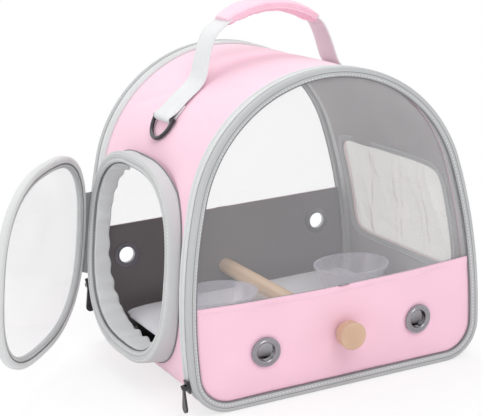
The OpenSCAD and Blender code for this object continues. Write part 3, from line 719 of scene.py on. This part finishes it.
# %% Wrap and lining
MESH_Y, MESH_Z0, MESH_Z1 = 97.0, 80.0, 184.0
MESH_MID, MESH_HALF = (MESH_Z0 + MESH_Z1) / 2, (MESH_Z1 - MESH_Z0) / 2
s_steps, y_steps = np.linspace(0, ARCH_S[-1], 261), np.linspace(-WRAP_D, WRAP_D, 73)
S, Y = np.meshgrid(s_steps, y_steps, indexing="ij")
S_MID = ARCH_S[-1] / 2
right_half, left_half = ARCH_S < S_MID, ARCH_S > S_MID


def right_wall_s(z, inset):
    """The length along the arch at which the right wall has the height z."""
    return np.interp(z, on_arch(ARCH_S[right_half], inset)[0][:, 1], ARCH_S[right_half])


def box_reach(y, z):
    """Under 1 inside the mesh window's rounded box, by a superellipse of power 8."""
    return (np.abs(y / MESH_Y) ** 8 + np.abs((z - MESH_MID) / MESH_HALF) ** 8) ** (1 / 8)


def holed(S, Y, inset):
    """Moves grid points out of both holes. Gives the new lengths and depths and the
    points that stay."""
    xz, _ = on_arch(S, inset)
    local = (into_space(xz, Y) - door_mid) @ DOOR_AXES.T
    left = (xz[..., 0] < 0) & (xz[..., 1] < 240)
    out_xy, outside = snap_out(local[..., :2], DOOR_A - DOOR_RIM + 1.5, DOOR_B - DOOR_RIM + 1.5)
    up_all = ((into_space(on_arch(ARCH_S, inset)[0], 0.0) - door_mid) @ DOOR_AXES.T)[:, 1]
    new_s = np.interp(out_xy[..., 1], up_all[left_half][::-1], ARCH_S[left_half][::-1])
    in_door = left & ~outside
    S1, Y1 = np.where(in_door, new_s, S), np.where(in_door, DOOR_Y - out_xy[..., 0], Y)
    reach = box_reach(Y, xz[..., 1])
    in_mesh = (xz[..., 0] > 60) & (reach < 1)
    grown = 1 / np.maximum(reach, 1e-6)
    s_mesh = right_wall_s(MESH_MID + (xz[..., 1] - MESH_MID) * grown, inset)
    return np.where(in_mesh, s_mesh, S1), np.where(in_mesh, Y1 * grown, Y1), ~(in_door | in_mesh)


def outer_shape(s, y):
    """Swell between the rims, less near the doorway and window, with a crease that runs
    from each handle foot towards the rims, and slow unevenness."""
    rim = np.clip(1 - (y / WRAP_D) ** 4, 0, 1)
    xz, _ = on_arch(s, 0.0)
    high = np.clip((xz[..., 1] - 215) / 50, 0, 1)
    swell = 1.4 * rim * high + 0.5 * waves(s, y, 3, 90) * rim * (0.3 + 0.7 * high)
    far = np.abs(y)
    crease = 0.0
    for side in (-1, 1):
        foot = S_MID + side * 78
        for slope, drop, depth in ((0.35, 20, 1.5), (-0.3, 26, 1.1)):
            across = (s - foot - side * drop * 0.3) - slope * far * side
            fade = np.exp(-(across / 5.0) ** 2)
            crease = crease + depth * fade * np.clip((far - 16) / 30, 0, 1) * np.clip((100 - far) / 30, 0, 1)
    return swell - crease


def lining_shape(s, y):
    """Loose folds of the lining, only inwards."""
    rim = np.clip(1 - (y / WRAP_D) ** 6, 0, 1)
    return -(0.9 + 0.9 * waves(s, y * 0.6, 5, 55)) * rim


def skin(name, inset, shape, surface, thickness, offset, **rest):
    """The grid over the arch at an inset, pushed outwards by shape(S, Y)."""
    S1, Y1, keep = holed(S, Y, inset)
    xz, _ = on_arch(S1, inset - shape(S1, Y1))
    obj = grid_piece(name, into_space(xz, Y1), np.r_[s_steps, 0], np.r_[y_steps, 0], "carrier", surface, keep=keep,
                     closed=False, **rest)
    thicken(obj, thickness, offset)


skin("padded_wrap", WRAP_INSET, outer_shape, PINK_CLOTH, 2.0, -1.0, hides=["body_wrap"], flip=True)
skin("cabin_lining", 6.0, lining_shape, GREY_LINING, 0.9, 1.0, hides=["wrap_lining"])

# %% [markdown]
# ## Front and rear panels
# Each panel is two sheets that meet at a seam: cloth below, clear sheet above.
# The front one bows forwards. A sheet is a fan of rays from a hub in the middle
# of the seam to the binding, and the bow is highest at the hub. Grid points in
# an eyelet's hole move out to its edge.

# %% Panel sheets
SKIRT_H, REAR_SKIRT_H, BULGE = 101.0, 121.0, 12.0
PERCH_Z, EYELET_X, EYELET_Z, REAR_EYELET_X, REAR_EYELET_Z = 56.0, 80.0, 52.0, 112.0, 88.0
EYELET_HOLE_R, SCREW_HOLE_R = 9.3, 3.2
PANEL_EDGE = LOOP_P - BINDING_W * LOOP_N
# For the front, -1, and the rear, 1: the seam's height, the bow and the body
SEAM_Z, BOW, PANEL_BODY = {-1: SKIRT_H, 1: REAR_SKIRT_H}, {-1: BULGE, 1: 0.0}, {-1: "front_panel", 1: "carrier"}


def panel_edge(seam_z, upper):
    """The part of the binding's inner edge above or below the seam, from seam to seam."""
    inside = PANEL_EDGE[:, 1] > seam_z if upper else PANEL_EDGE[:, 1] < seam_z
    first = int(np.argmax(inside & ~np.roll(inside, 1)))
    run = np.roll(PANEL_EDGE, -first, 0)[np.roll(inside, -first)]
    ends = np.array([[run[0, 0], seam_z], [run[-1, 0], seam_z]])
    return np.vstack([ends[:1], run, ends[1:]])


def share_out(xz, seam_z, upper):
    """How far each point is on its ray from the hub to the edge, from 0 to 1."""
    sign = 1 if upper else -1
    edge = panel_edge(seam_z, upper) - [0, seam_z]
    angle, reach = np.arctan2(sign * edge[:, 1], edge[:, 0]), np.linalg.norm(edge, axis=1)
    order = np.argsort(angle)
    d = xz - np.array([0, seam_z])
    return np.linalg.norm(d, axis=-1) / np.interp(np.arctan2(sign * d[..., 1], d[..., 0]), angle[order], reach[order])


def panel_sheet(name, sign, upper, y, ripple, surface, hides, thickness, holes=(), rows=40):
    """A sheet at y + bow (1 - f f) + ripple, where f is the share of the way out."""
    seam_z, y = SEAM_Z[sign], PANEL_Y + y
    edge, = even(panel_edge(seam_z, upper), 3.5)
    hub = np.array([0, seam_z])
    xz = hub + np.linspace(0, 1, rows + 1)[1:, None, None] * (edge - hub)
    keep = np.ones(xz.shape[:2], bool)
    for x, z, r in holes:
        d = xz - np.array([x, z])
        away = np.linalg.norm(d, axis=-1)
        keep &= away >= r
        xz = np.where((away < r)[..., None], np.array([x, z]) + d / np.maximum(away, 1e-6)[..., None] * r, xz)
    depth = y + BOW[sign] * (1 - share_out(xz, seam_z, upper) ** 2) + ripple(xz)
    hub_depth = y + BOW[sign] + float(ripple(hub[None])[0])
    points = np.vstack([into_space(xz, sign * depth).reshape(-1, 3), [[0, sign * hub_depth, seam_z]]])
    m, n = xz.shape[:2]
    quads, _, _ = grid_quads(m, n)
    quads = quads[keep.ravel()[quads].any(1)]
    faces = [quads, fan(np.arange(n), m * n)]
    a, b, c = points[quads[0, :3]]
    if np.cross(b - a, c - a)[1] * sign < 0:
        faces = [f[:, ::-1] for f in faces]
    uv = [points[f][..., [0, 2]] for f in faces]
    thicken(piece(name, points, faces, PANEL_BODY[sign], surface, hides=[hides], uv=uv, closed=False), thickness)


def ring_dent(xz, x, z, radius, depth, width):
    """A soft groove of a depth round the point (x, z)."""
    return -depth * np.exp(-((np.linalg.norm(xz - np.array([x, z]), axis=-1) - radius) / width) ** 2)


def skirt_ripple(xz):
    """A hem along the top, dents where the eyelets and knob press, and slow unevenness."""
    hem = 0.7 / (1 + np.exp(-(xz[..., 1] - (SKIRT_H - 6.5)) / 0.5))
    eyelet_dents = sum(ring_dent(xz, s * EYELET_X, EYELET_Z, 13, 0.7, 5) for s in (-1, 1))
    dents = eyelet_dents + ring_dent(xz, 0, PERCH_Z, 4, 0.9, 9)
    return hem + dents + 0.45 * waves(xz[..., 0], xz[..., 1], 11, 70)


def window_ripple(xz):
    """Long shallow waves of a sheet that was rolled, and small puckers near its seam."""
    f = share_out(xz, SKIRT_H, True)
    turn = np.arctan2(xz[..., 1] - SKIRT_H, xz[..., 0])
    return 1.1 * waves(xz[..., 0], xz[..., 1], 21, 120) * (1 - f ** 4) + 0.35 * f ** 8 * np.sin(46 * turn)


def slight(seed, size, amount):
    """A ripple that is only slow unevenness."""
    return lambda xz: amount * waves(xz[..., 0], xz[..., 1], seed, size)


front_holes, rear_holes = [[(-x, z, EYELET_HOLE_R), (x, z, EYELET_HOLE_R), (0, PERCH_Z, SCREW_HOLE_R)]
                           for x, z in ((EYELET_X, EYELET_Z), (REAR_EYELET_X, REAR_EYELET_Z))]
panel_sheet("front_skirt_cloth", -1, False, 1.4, skirt_ripple, PINK_CLOTH, "front_skirt", 1.4, front_holes)
panel_sheet("front_skirt_back", -1, False, -0.1, slight(12, 60, 0.2), GREY_LINING, "front_skirt_lining", 0.8,
            front_holes)
panel_sheet("front_clear_sheet", -1, True, 0.6, window_ripple, CLEAR_SHEET, "front_window", 0.5, rows=44)
panel_sheet("rear_skirt_cloth", 1, False, 1.3, slight(13, 70, 0.25), PINK_CLOTH, "rear_skirt", 1.2, rear_holes)
panel_sheet("rear_skirt_back", 1, False, -0.2, slight(14, 50, 0.35), PAINTED_SHADE_LINING, "rear_skirt_lining", 0.8, rear_holes)
panel_sheet("rear_clear_sheet", 1, True, 0.4, slight(15, 110, 0.5), CLEAR_SHEET, "rear_window", 0.5, rows=44)


def hem_row(name, sign, drop, y):
    """A row of stitches straight across a panel, at a drop below its seam."""
    count, reach, z = 160, 141, SEAM_Z[sign] - drop
    xz = np.c_[np.linspace(-reach, reach, count), np.full(count, z)]
    depth = y + BOW[sign] * (1 - share_out(xz, SEAM_Z[sign], False) ** 2)
    out = np.tile([0, sign, 0.0], (count, 1))
    stitch_row(name, into_space(xz, sign * depth), out, PANEL_BODY[sign], PINK_THREAD)


hem_row("front_hem_stitches", -1, 4.5, PANEL_Y + 2.2)
hem_row("rear_hem_stitches", 1, 3.5, PANEL_Y + 1.4)

# %% [markdown]
# ## Doorway collar
# A band of binding tape stands out round the doorway so that the flat door can
# close on the curved wall. Its walls reach down to the wall, whose depth below
# the doorway's plane is found for each place round the oval.

# %% Collar, teeth and gathered edging
ring_p, ring_n = oval_line(DOOR_A, DOOR_B)
ring_s = lengths(ring_p, True)


def oval_grid(offsets, depths, wobble=0.0):
    """Grid round the oval: each column is an offset along the oval's normal and a depth,
    either one number or one for each place."""
    o = np.stack([np.broadcast_to(a, RING) for a in offsets], 1)
    z = np.stack([np.broadcast_to(a, RING) for a in depths], 1)
    xy = ring_p[:, None] + (o + wobble)[..., None] * ring_n[:, None]
    return np.concatenate([xy, z[..., None]], -1)


outer_foot = wall_depth(ring_p, 3.0)
inner_foot = wall_depth(ring_p - DOOR_RIM * ring_n, 3.0)
# Down the outer wall, over the face with a seam groove between its two bands, and in
collar_offsets = [0.1, 0, 0, -0.4, -1.6, -4.4, -6.0, -6.5, -7.0, -8.4, -10.0, -10.7, -11, -11, -11]
collar_depths = [outer_foot, outer_foot / 2 - 0.9, -1.8, -0.7, -0.25, 0.0, -0.2, -0.9, -0.3, -0.1, -0.3, -0.8,
                 -1.8, inner_foot / 2 - 0.9, inner_foot]
sag = 0.35 * waves(ring_s[:-1], 0, 31, 60)[:, None]
grid_piece("doorway_collar", from_doorway(oval_grid(collar_offsets, collar_depths, sag)), ring_s,
           np.arange(16) * 2.0, "carrier", COLLAR_TAPE, True, True, hides=["doorway_trim"], sharp=60)
# A dark cord round the collar's foot is painted shadow: it stands for the dark shadow line where the collar meets the
# wall.
foot_line = from_doorway(np.c_[ring_p + 0.5 * ring_n, wall_depth(ring_p, 3.2) + 0.3])
foot_out = np.tile(DOOR_AXES[2], (RING, 1))
foot_across = unit(np.cross(foot_out, tangents(foot_line, True)))
foot_painted_shadow = sweep(foot_line, foot_across, foot_out, superellipse(1.5, 1.4, 1.0, 8))
grid_piece("collar_foot_painted_shadow", foot_painted_shadow, ring_s, np.arange(9) * 0.6, "carrier", PAINTED_SHADOW_CORD, True, True)


def oval_row(name, offset, depth, body, surface, turn=lambda p: p, up=1.0, **rest):
    """Stitches round the oval at an offset and depth, flat on the collar or the door."""
    line = turn(from_doorway(np.c_[ring_p + offset * ring_n, np.full(RING, depth)]))
    middle = turn(from_doorway(np.array([[0, 0, 0.0], [0, 0, up]])))
    stitch_row(name, line, np.tile(middle[1] - middle[0], (RING, 1)), body, surface, closed=True, **rest)


oval_row("collar_outer_stitches", -2.4, -0.1, "carrier", LIGHT_THREAD)
oval_row("collar_inner_stitches", -8.6, -0.1, "carrier", LIGHT_THREAD)
oval_row("doorway_zip_teeth", -11.6, -2.6, "carrier", ZIP_COIL, pitch=TOOTH_PITCH, size=(1.3, 1.5, 2.6),
         hides=["doorway_zip"])

# The gathers come at uneven steps and with uneven depths
GATHERS, LIP_TOP = 30, -4.4
lip_rows = np.linspace(0, 1, 12)
turn_at = ring_s[:-1] / ring_s[-1] * 2 * np.pi
gather = 0.5 + 0.5 * np.sin(GATHERS * turn_at + 1.2 * np.sin(5 * turn_at) + 0.5 * np.sin(11 * turn_at))
depth_at = 0.62 + 0.22 * np.sin(7 * turn_at) + 0.16 * np.sin(17 * turn_at + 1.0)
lip_in = -DOOR_RIM - 0.6 - (0.2 + 3.8 * lip_rows[None] ** 0.5) * (gather * depth_at)[:, None]
lip_foot = wall_depth(ring_p - (DOOR_RIM + 1) * ring_n, 10.5)[:, None]
lip_z = LIP_TOP + (lip_foot - LIP_TOP) * lip_rows[None] + 0.6 * np.cos(GATHERS * turn_at)[:, None] * lip_rows[None]
lip_xy = ring_p[:, None] + lip_in[..., None] * ring_n[:, None]
lip = grid_piece("gathered_edging", from_doorway(np.concatenate([lip_xy, lip_z[..., None]], -1)), ring_s,
                 lip_rows * 16, "carrier", LIP_CLOTH, True, closed=False, hides=["doorway_lip"])
thicken(lip, 0.7, 0.0)

# %% [markdown]
# ## Side door
# The door is a ring of two tapes round a clear oval sheet. It is built where it
# closes, on the doorway's axes, and then turned about its hinge line to the
# angle at which it stands open.

# %% Door ring, sheet and hinge strip
def oval_band(name, section, surface, hides=()):
    """A closed section of (offset, depth) carried round the oval, on the open door."""
    grid_piece(name, swung(from_doorway(oval_grid(section[:, 0], section[:, 1]))), ring_s, lengths(section, True),
               "side_door", surface, True, True, hides=hides)


oval_band("door_outer_binding", superellipse(7.4, 7.9, 0.6, 18) + [-3.7, 4.5], LIGHT_TAPE, ["door_binding"])
oval_band("door_inner_binding", superellipse(5.4, 5.6, 0.6, 14) + [-9.0, 4.5], MID_TAPE)
oval_row("door_zip_teeth", -7.0, 1.5, "side_door", ZIP_COIL, swung, -1.0, pitch=TOOTH_PITCH, size=(1.3, 2.2, 1.4),
         hides=["door_zip"])
oval_row("door_face_stitches", -2.6, 8.4, "side_door", LIGHT_THREAD, swung)
oval_row("door_back_stitches", -2.6, 0.6, "side_door", LIGHT_THREAD, swung, -1.0)
oval_row("door_band_stitches", -9.4, 1.75, "side_door", MID_THREAD, swung, -1.0)

PANE_ROWS = 30
shares = np.linspace(0, 1, PANE_ROWS + 1)[1:, None, None]
pane_xy = shares * (ring_p - 10.4 * ring_n)
f = shares[..., 0]
pane_z = 4.6 + 1.6 * (1 - f ** 2) + 0.9 * waves(pane_xy[..., 0], pane_xy[..., 1], 41, 95) * (1 - f ** 3)
pane = np.concatenate([pane_xy, pane_z[..., None]], -1)
pane_points = swung(from_doorway(np.vstack([pane.reshape(-1, 3), [[0, 0, 6.2]]])))
pane_faces = [grid_quads(PANE_ROWS, RING, False, True)[0], fan(np.r_[:RING, 0], PANE_ROWS * RING)]
thicken(piece("door_clear_sheet", pane_points, pane_faces, "side_door", CLEAR_SHEET, closed=False,
              hides=["door_window"]), 0.5, 0.0)


def oval_side(v):
    """Half width of the oval at height v: a (1 - (v/b)^p)^(1/p)."""
    return DOOR_A * (1 - (np.abs(v) / DOOR_B) ** OVAL_POWER) ** (1 / OVAL_POWER)


HINGE_HALF, FOLD_W = 42, 0.3
strip_v = np.linspace(-HINGE_HALF, HINGE_HALF, 43)[:, None]
strip_w = np.concatenate([np.linspace(-8, 8.2, 22), np.linspace(8.2, -8, 22)])[None]
skin_off = np.where(np.arange(44) < 22, 1.5, 0.3)[None]
local = np.stack(np.broadcast_arrays(-oval_side(strip_v) - skin_off, strip_v, strip_w), -1)
closed_place = from_doorway(local)
# The share of the door's turn goes from 0 to 1 across the fold
share = 1 / (1 + np.exp(-(strip_w - FOLD_W) / 0.35))
strip_points = closed_place + share[..., None] * (swung(closed_place) - closed_place)
strip = grid_piece("door_hinge_strip", strip_points, np.arange(44) * 2.0, lengths(local[0], True), "carrier",
                   HINGE_TAPE, False, True, caps=True, ride=False, hides=["doorway_hinge_tape", "door_hinge_tape"])
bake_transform(strip)
for end in (-1, 1):
    v, w = np.full(8, end * 40.5), np.linspace(-7, 7, 8)
    spot = from_doorway(np.c_[-oval_side(v) - 1.6, v, w])
    at = np.where((w > FOLD_W)[:, None], swung(spot), spot)
    for body, mask in (("carrier", w < -0.8), ("side_door", w > 1.2)):
        beads(f"hinge_end_stitches_{body}_{'low' if end < 0 else 'high'}", at[mask], tangents(at[mask]),
              np.tile([0, 1.0, 0], (mask.sum(), 1)), (1.6, 0.8, 0.6), body, MID_THREAD)

# %% [markdown]
# ## Mesh window
# The right wall has a window of fine mesh, held by a narrow binding inside and
# outside. The mesh is slack, so it hangs in upright creases between its edges.

# %% Mesh and its frame
mesh_z, mesh_y = np.linspace(MESH_Z0 - 3, MESH_Z1 + 3, 61), np.linspace(-MESH_Y - 2.5, MESH_Y + 2.5, 121)
mesh_s = right_wall_s(mesh_z, 5.7)
MS, MY = np.meshgrid(mesh_s, mesh_y, indexing="ij")
MZ = np.meshgrid(mesh_z, mesh_y, indexing="ij")[0]
mask = np.clip(1 - box_reach(MY, MZ) ** 4, 0, 1) ** 0.5
creases = waves(MZ * 0.2, MY, 51, 30) + 0.5 * waves(MZ * 0.5, MY, 52, 13) + 0.35 * waves(MZ, MY, 53, 40)
rng = np.random.default_rng(54)
for at, lean, width in zip(np.linspace(-80, 80, 9) + rng.uniform(-6, 6, 9), rng.uniform(-0.25, 0.25, 9),
                           rng.uniform(2.0, 4.5, 9)):
    creases = creases + 1.6 * np.exp(-np.abs(MY - at - lean * (MZ - MESH_MID)) / width)
mesh_xz, _ = on_arch(MS, 5.75 + mask * (1.6 + 2.8 * creases))
mesh_obj = grid_piece("slack_mesh", into_space(mesh_xz, MY), np.r_[mesh_s, 0], np.r_[mesh_y, 0], "carrier",
                      MESH_CLOTH, closed=False, flip=True, hides=["mesh_window"])


def frame_line(grow, inset):
    """The mesh window's rounded outline on the right wall, with the wall's normals."""
    c, s = squared(np.arange(720) * 2 * np.pi / 720, 0.25)
    z = MESH_MID + (MESH_HALF + grow) * s
    xz, n = on_arch(right_wall_s(z, inset), inset)
    line, out = even(into_space(xz, (MESH_Y + grow) * c), 3.0, True, (into_space(n, 0.0),))
    return line, unit(out)


for where, side, inset, hides in (("outer", 1, 3.0, ["mesh_frame"]), ("inner", -1, 7.6, [])):
    line, out = frame_line(3.2, inset)
    tube(f"mesh_{where}_binding", line, unit(np.cross(out, tangents(line, True))), out,
         superellipse(7.2, 1.5, 0.5, 14), "carrier", MID_TAPE, True, hides=hides)
    line, out = frame_line(5.0, inset - side * 0.75)
    beads(f"mesh_{where}_stitches", line, tangents(line, True), side * out, (2.2, 0.7, 0.5), "carrier", MID_THREAD)

# %% [markdown]
# ## Straps and handle
# The webbing runs from the D-ring's bar up over the shoulder of the shell, lifts
# off it, and goes into the padded sleeve of the handle. The handle tilts, so the
# webbing is one piece that blends from the shell to the handle.

# %% Webbing
BAR_TURN = math.radians(140)
LOOP_C = top_c + (TOP_R - WRAP_INSET + 4.6) * np.array([math.cos(BAR_TURN), math.sin(BAR_TURN)])
GRIP_R, GRIP_Z = 87.0, 259.0


def polar(centre, radius, degrees):
    """Points round a centre, at angles in degrees."""
    a = np.radians(np.asarray(degrees, float))
    return np.asarray(centre) + np.asarray(radius)[..., None] * np.stack([np.cos(a), np.sin(a)], -1)


def webbing(side_name, sign):
    """Under the strap, round the bar, over the shoulder, up the leg and into the sleeve."""
    under = polar(top_c, np.full(3, 138.8), [132.5, 135.5, 138])
    round_bar = polar(LOOP_C, np.full(8, 3.2), np.linspace(313, 133, 8))
    over = polar(top_c, np.linspace(141.2, 140.0, 5), np.linspace(136, 124, 5))
    leg = np.array([[-70.6, 284.5], [-67.2, 297.0], [-62.8, 312.0]])
    arc = polar([0, GRIP_Z], np.full(5, GRIP_R), [131, 125, 119, 112, 105])
    path, = even(rounded(np.vstack([under, round_bar, over, leg, arc]), 3), 2.0)
    line = into_space(path * [-sign, 1], 0.0)
    across = np.tile([0, 1.0, 0], (len(line), 1))
    face = np.cross(tangents(line), across)
    high = np.clip((line[:, 2] - 270) / 45, 0, 1)
    low = np.clip((256 - line[:, 2]) / 8, 0, 1)
    width = 38 - 4 * high - 3.5 * low
    section = superellipse(1.0, 1.0, 0.35, 18)[None] * np.stack([width, np.full(len(line), 2.0)], -1)[:, None]
    hides = [side_name + "_strap", side_name + "_ring_loop"] + (["handle_strap"] if sign < 0 else [])
    obj = grid_piece(side_name + "_webbing", sweep(line, across, unit(face), section), lengths(line),
                     lengths(superellipse(38, 2, 0.35, 18), True), "carrier", WEBBING, False, True, caps=True,
                     ride=False, hides=hides)
    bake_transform(obj)
    run = slice(np.argmax(line[:, 2] > 250) + 9, len(line) - 6)
    outside = face[run] * np.sign((face[run] * (line[run] - [0, 0, 200])).sum(-1, keepdims=True))
    for edge, edge_name in ((-1, "front"), (1, "rear")):
        path_at = line[run] + across[run] * (edge * (width[run] / 2 - 2.6))[:, None] + outside
        row = stitch_row(f"{side_name}_webbing_stitches_{edge_name}", path_at, outside, "carrier", WEB_THREAD,
                         ride=False)
        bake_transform(row)


webbing("left", -1)
webbing("right", 1)

# %% [markdown]
# ## Padded sleeve
# A foam sleeve is sewn round the middle of the handle. It follows the handle's
# arch. It is fullest in the middle, its edges are pinched by a seam, and its
# inner side, which is shorter, gathers in small cross creases.

# %% Sleeve
GRIP_MID, GRIP_HALF, GRIP_W, GRIP_T = 86.0, 33.0, 42.0, 12.0
AROUND = 36
q = np.linspace(-1, 1, 111)[:, None]
t = (np.arange(AROUND) * 2 * np.pi / AROUND)[None]
c, s = np.cos(t), np.sin(t)
full = 1 - 0.2 * np.abs(q) ** 4 - 0.06 * np.clip((np.abs(q) - 0.93) / 0.07, 0, 1) ** 2
pinch = 1 - 0.16 * np.exp(-(s / 0.22) ** 2)
rng = np.random.default_rng(8)
creases = 0.0
for at, depth, lean in zip(np.linspace(-0.82, 0.82, 9) + rng.uniform(-0.05, 0.05, 9), rng.uniform(0.5, 1.3, 9),
                           rng.uniform(-0.06, 0.06, 9)):
    creases = creases + depth * np.exp(-((q - at - lean * c) / 0.028) ** 2)
inner_side = np.clip(-s + 0.35, 0, 1)
up_off = full * GRIP_T / 2 * np.sign(s) * np.abs(s) ** 0.8 + creases * inner_side * 0.9
y_off = full * pinch ** 0.5 * GRIP_W / 2 * np.sign(c) * np.abs(c) ** 0.62
radius = GRIP_R + up_off + 0.35 * waves(q * 60, y_off, 61, 30)
angle = np.radians(GRIP_MID - GRIP_HALF * q)
sleeve_points = np.stack([radius * np.cos(angle), y_off, GRIP_Z + radius * np.sin(angle)], -1)
sleeve = grid_piece("padded_sleeve", sleeve_points, q[:, 0] * 50, np.arange(AROUND + 1) * 2.8, "handle", PINK_CLOTH,
                    False, True, caps=True, hides=["handle_grip"])
for edge_name, k in (("front", AROUND // 2), ("rear", 0)):
    line = sleeve_points[4:-4, k]
    side = np.tile([0, 1.0, 0], (len(line), 1))
    tube(f"sleeve_seam_{edge_name}", line, side, unit(np.cross(tangents(line), side)),
         superellipse(1.8, 1.8, 1.0, 8), "handle", PINK_CLOTH, False)

# %% [markdown]
# ## Base, mat and front hinge tape
# The base is a thin covered board. The mat is padded, so it is inflated by a
# short cloth simulation and then pressed flat where the bowls stand. The tape
# under the front edge joins the base to the panel that drops forwards.

# %% Slabs
def slab(name, a, b, power, profile, body, surface, **rest):
    """A slab with a rounded outline: rings of the profile's (inset, z), closed by fans."""
    outline, = even(np.stack(squared(np.arange(4000) * 2 * np.pi / 4000, power), -1) * [a, b], 4.0, True)
    scale = np.stack([1 - profile[:, 0] / a, 1 - profile[:, 0] / b], -1)
    height = np.broadcast_to(profile[:, 1, None, None], (len(profile), len(outline), 1))
    rings = np.concatenate([outline[None] * scale[:, None], height], -1)
    m, n = rings.shape[:2]
    ring = np.r_[:n, 0]
    points = np.vstack([rings.reshape(-1, 3), [[0, 0, profile[0, 1]], [0, 0, profile[-1, 1]]]])
    faces = [grid_quads(m, n, False, True)[0], fan(ring, m * n), fan(ring + (m - 1) * n, m * n + 1)[:, [0, 2, 1]]]
    return piece(name, points, faces, body, surface, uv=[points[f][..., :2] for f in faces], **rest)


base_profile = np.array([[60, 0.4], [12, 0.1], [3, 0.0], [0.8, 0.6], [0, 2.2], [0, 5.7], [4, 5.7], [60, 5.7]])
slab("covered_base", CORNER_X, WRAP_D, 0.12, base_profile, "carrier", PINK_CLOTH, hides=["base_panel"])

MAT_A, MAT_B, MAT_Z, MAT_TOP, MAT_POWER = 134.0, 107.0, 32.3, 40.0, 0.16
mat_profile = np.array([[100, 0.5], [70, 0.4], [40, 0.2], [20, 0.1], [7, 0.2], [3.0, 0.9], [1.8, 2.0], [1.5, 3.4],
                        [1.9, 4.8], [3.2, 5.8], [7, 6.4], [20, 6.7], [40, 6.8], [70, 6.9], [100, 7.0]]) + [0, MAT_Z]

# %% Mat
CAP_MM, VOXEL_MM, PRESSURE, CLOTH_FRAMES = 2.0, 4.0, 4.0, 20


def new_mesh(obj):
    """The object's shape after its modifiers, as a mesh of its own."""
    graph = bpy.context.evaluated_depsgraph_get()
    return bpy.data.meshes.new_from_object(obj.evaluated_get(graph))


def places(mesh):
    """The mesh's points in metres, as an (n, 3) array."""
    flat = np.empty(len(mesh.vertices) * 3)
    mesh.vertices.foreach_get("co", flat)
    return flat.reshape(-1, 3)


def plump(obj):
    """Voxel remesh, then some frames of cloth with inner pressure and no gravity. No point
    moves more than the cap. Gives the points in mm."""
    mod = obj.modifiers.new("even", "REMESH")
    mod.mode, mod.voxel_size = "VOXEL", VOXEL_MM * MM
    mesh = new_mesh(obj)
    obj.modifiers.clear()
    old, obj.data = obj.data, mesh
    mesh.materials.clear()
    mesh.materials.append(old.materials[0])
    start = places(mesh)
    mod = obj.modifiers.new("cloth", "CLOTH")
    mod.settings.use_pressure, mod.settings.uniform_pressure_force = True, PRESSURE
    mod.settings.effector_weights.gravity = 0
    scene = bpy.context.scene
    for number in range(1, CLOTH_FRAMES + 1):
        scene.frame_set(number)
    move = places(new_mesh(obj)) - start
    obj.modifiers.clear()
    scene.frame_set(1)
    far = np.linalg.norm(move, axis=1, keepdims=True)
    start = start + move * np.minimum(1, CAP_MM * MM / np.maximum(far, 1e-9))
    print("plumped", obj.name, "largest move, mm:", round(float(far.max() / MM), 1))
    return start / MM


mat = slab("padded_mat", MAT_A, MAT_B, MAT_POWER, mat_profile, "floor_mat", MAT_CLOTH, hides=["floor_mat"])
p = plump(mat)
# The top is pressed below the bowls, and the foot is flat on the tray
PRESSED = 3.0
bend_z = MAT_TOP - PRESSED
over = np.maximum(p[:, 2] - bend_z, 0)
p[:, 2] = np.where(p[:, 2] > bend_z, bend_z + PRESSED * np.tanh(over / PRESSED), np.maximum(p[:, 2], MAT_Z))
p[:, 2] -= 0.8 * np.exp(-((np.abs(p[:, 0]) - 44) / 1.6) ** 2) * (p[:, 2] > bend_z)
mat_limit = np.array([MAT_A + 0.4, MAT_B + 0.4])
p[:, :2] = np.clip(p[:, :2], -mat_limit, mat_limit)
mat.data.vertices.foreach_set("co", (p * MM).ravel())
mat.data.polygons.foreach_set("use_smooth", np.ones(len(mat.data.polygons), bool))
mat.data.update()
mod = mat.modifiers.new("smooth", "SUBSURF")
mod.levels = mod.render_levels = 1

# %% Front hinge tape
TAPE_FROM, TAPE_TO, TAPE_STEPS = -112, -127.5, 14
tape_y = np.r_[np.linspace(TAPE_FROM, TAPE_TO, TAPE_STEPS), np.linspace(TAPE_TO, TAPE_FROM, TAPE_STEPS)]
tape_z = np.repeat([0.35, 0.95], TAPE_STEPS)
tape_x = np.linspace(-CORNER_X, CORNER_X, 58)
tape_points = np.stack(np.broadcast_arrays(tape_x[:, None], tape_y[None], tape_z[None]), -1)
tape = grid_piece("front_hinge_strip", tape_points, np.r_[tape_x, 0], lengths(tape_points[0], True), "carrier",
                  MID_TAPE, False, True, caps=True, ride=False, hides=["front_hinge_tape"])
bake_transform(tape)

# %% [markdown]
# ## Hard parts
# The wood, metal, bowls and tray keep the solids of the CAD part as they are,
# and only get a finish.

# %% Finishes of the CAD solids
for finish, names in ((beech, ["perch"]), (knob_beech_with_painted_shade, ["rear_knob", "front_knob"]),
                      (zinc, ["rear_screw", "front_screw"]),
                      (nickel, ["rear_eyelets", "rear_eyelet_washers", "front_eyelets", "front_eyelet_washers"]),
                      (black_metal, ["left_ring", "right_ring", "door_zip_slider", "door_zip_pull",
                                     "front_zip_slider", "front_zip_pull"]),
                      (clear_bowl, ["left_bowl", "right_bowl"]), (black_board_and_painted_shade, ["floor_tray"])):
    for name in names:
        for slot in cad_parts[name].material_slots:
            slot.material = finish
    print(finish.name, "on", names)
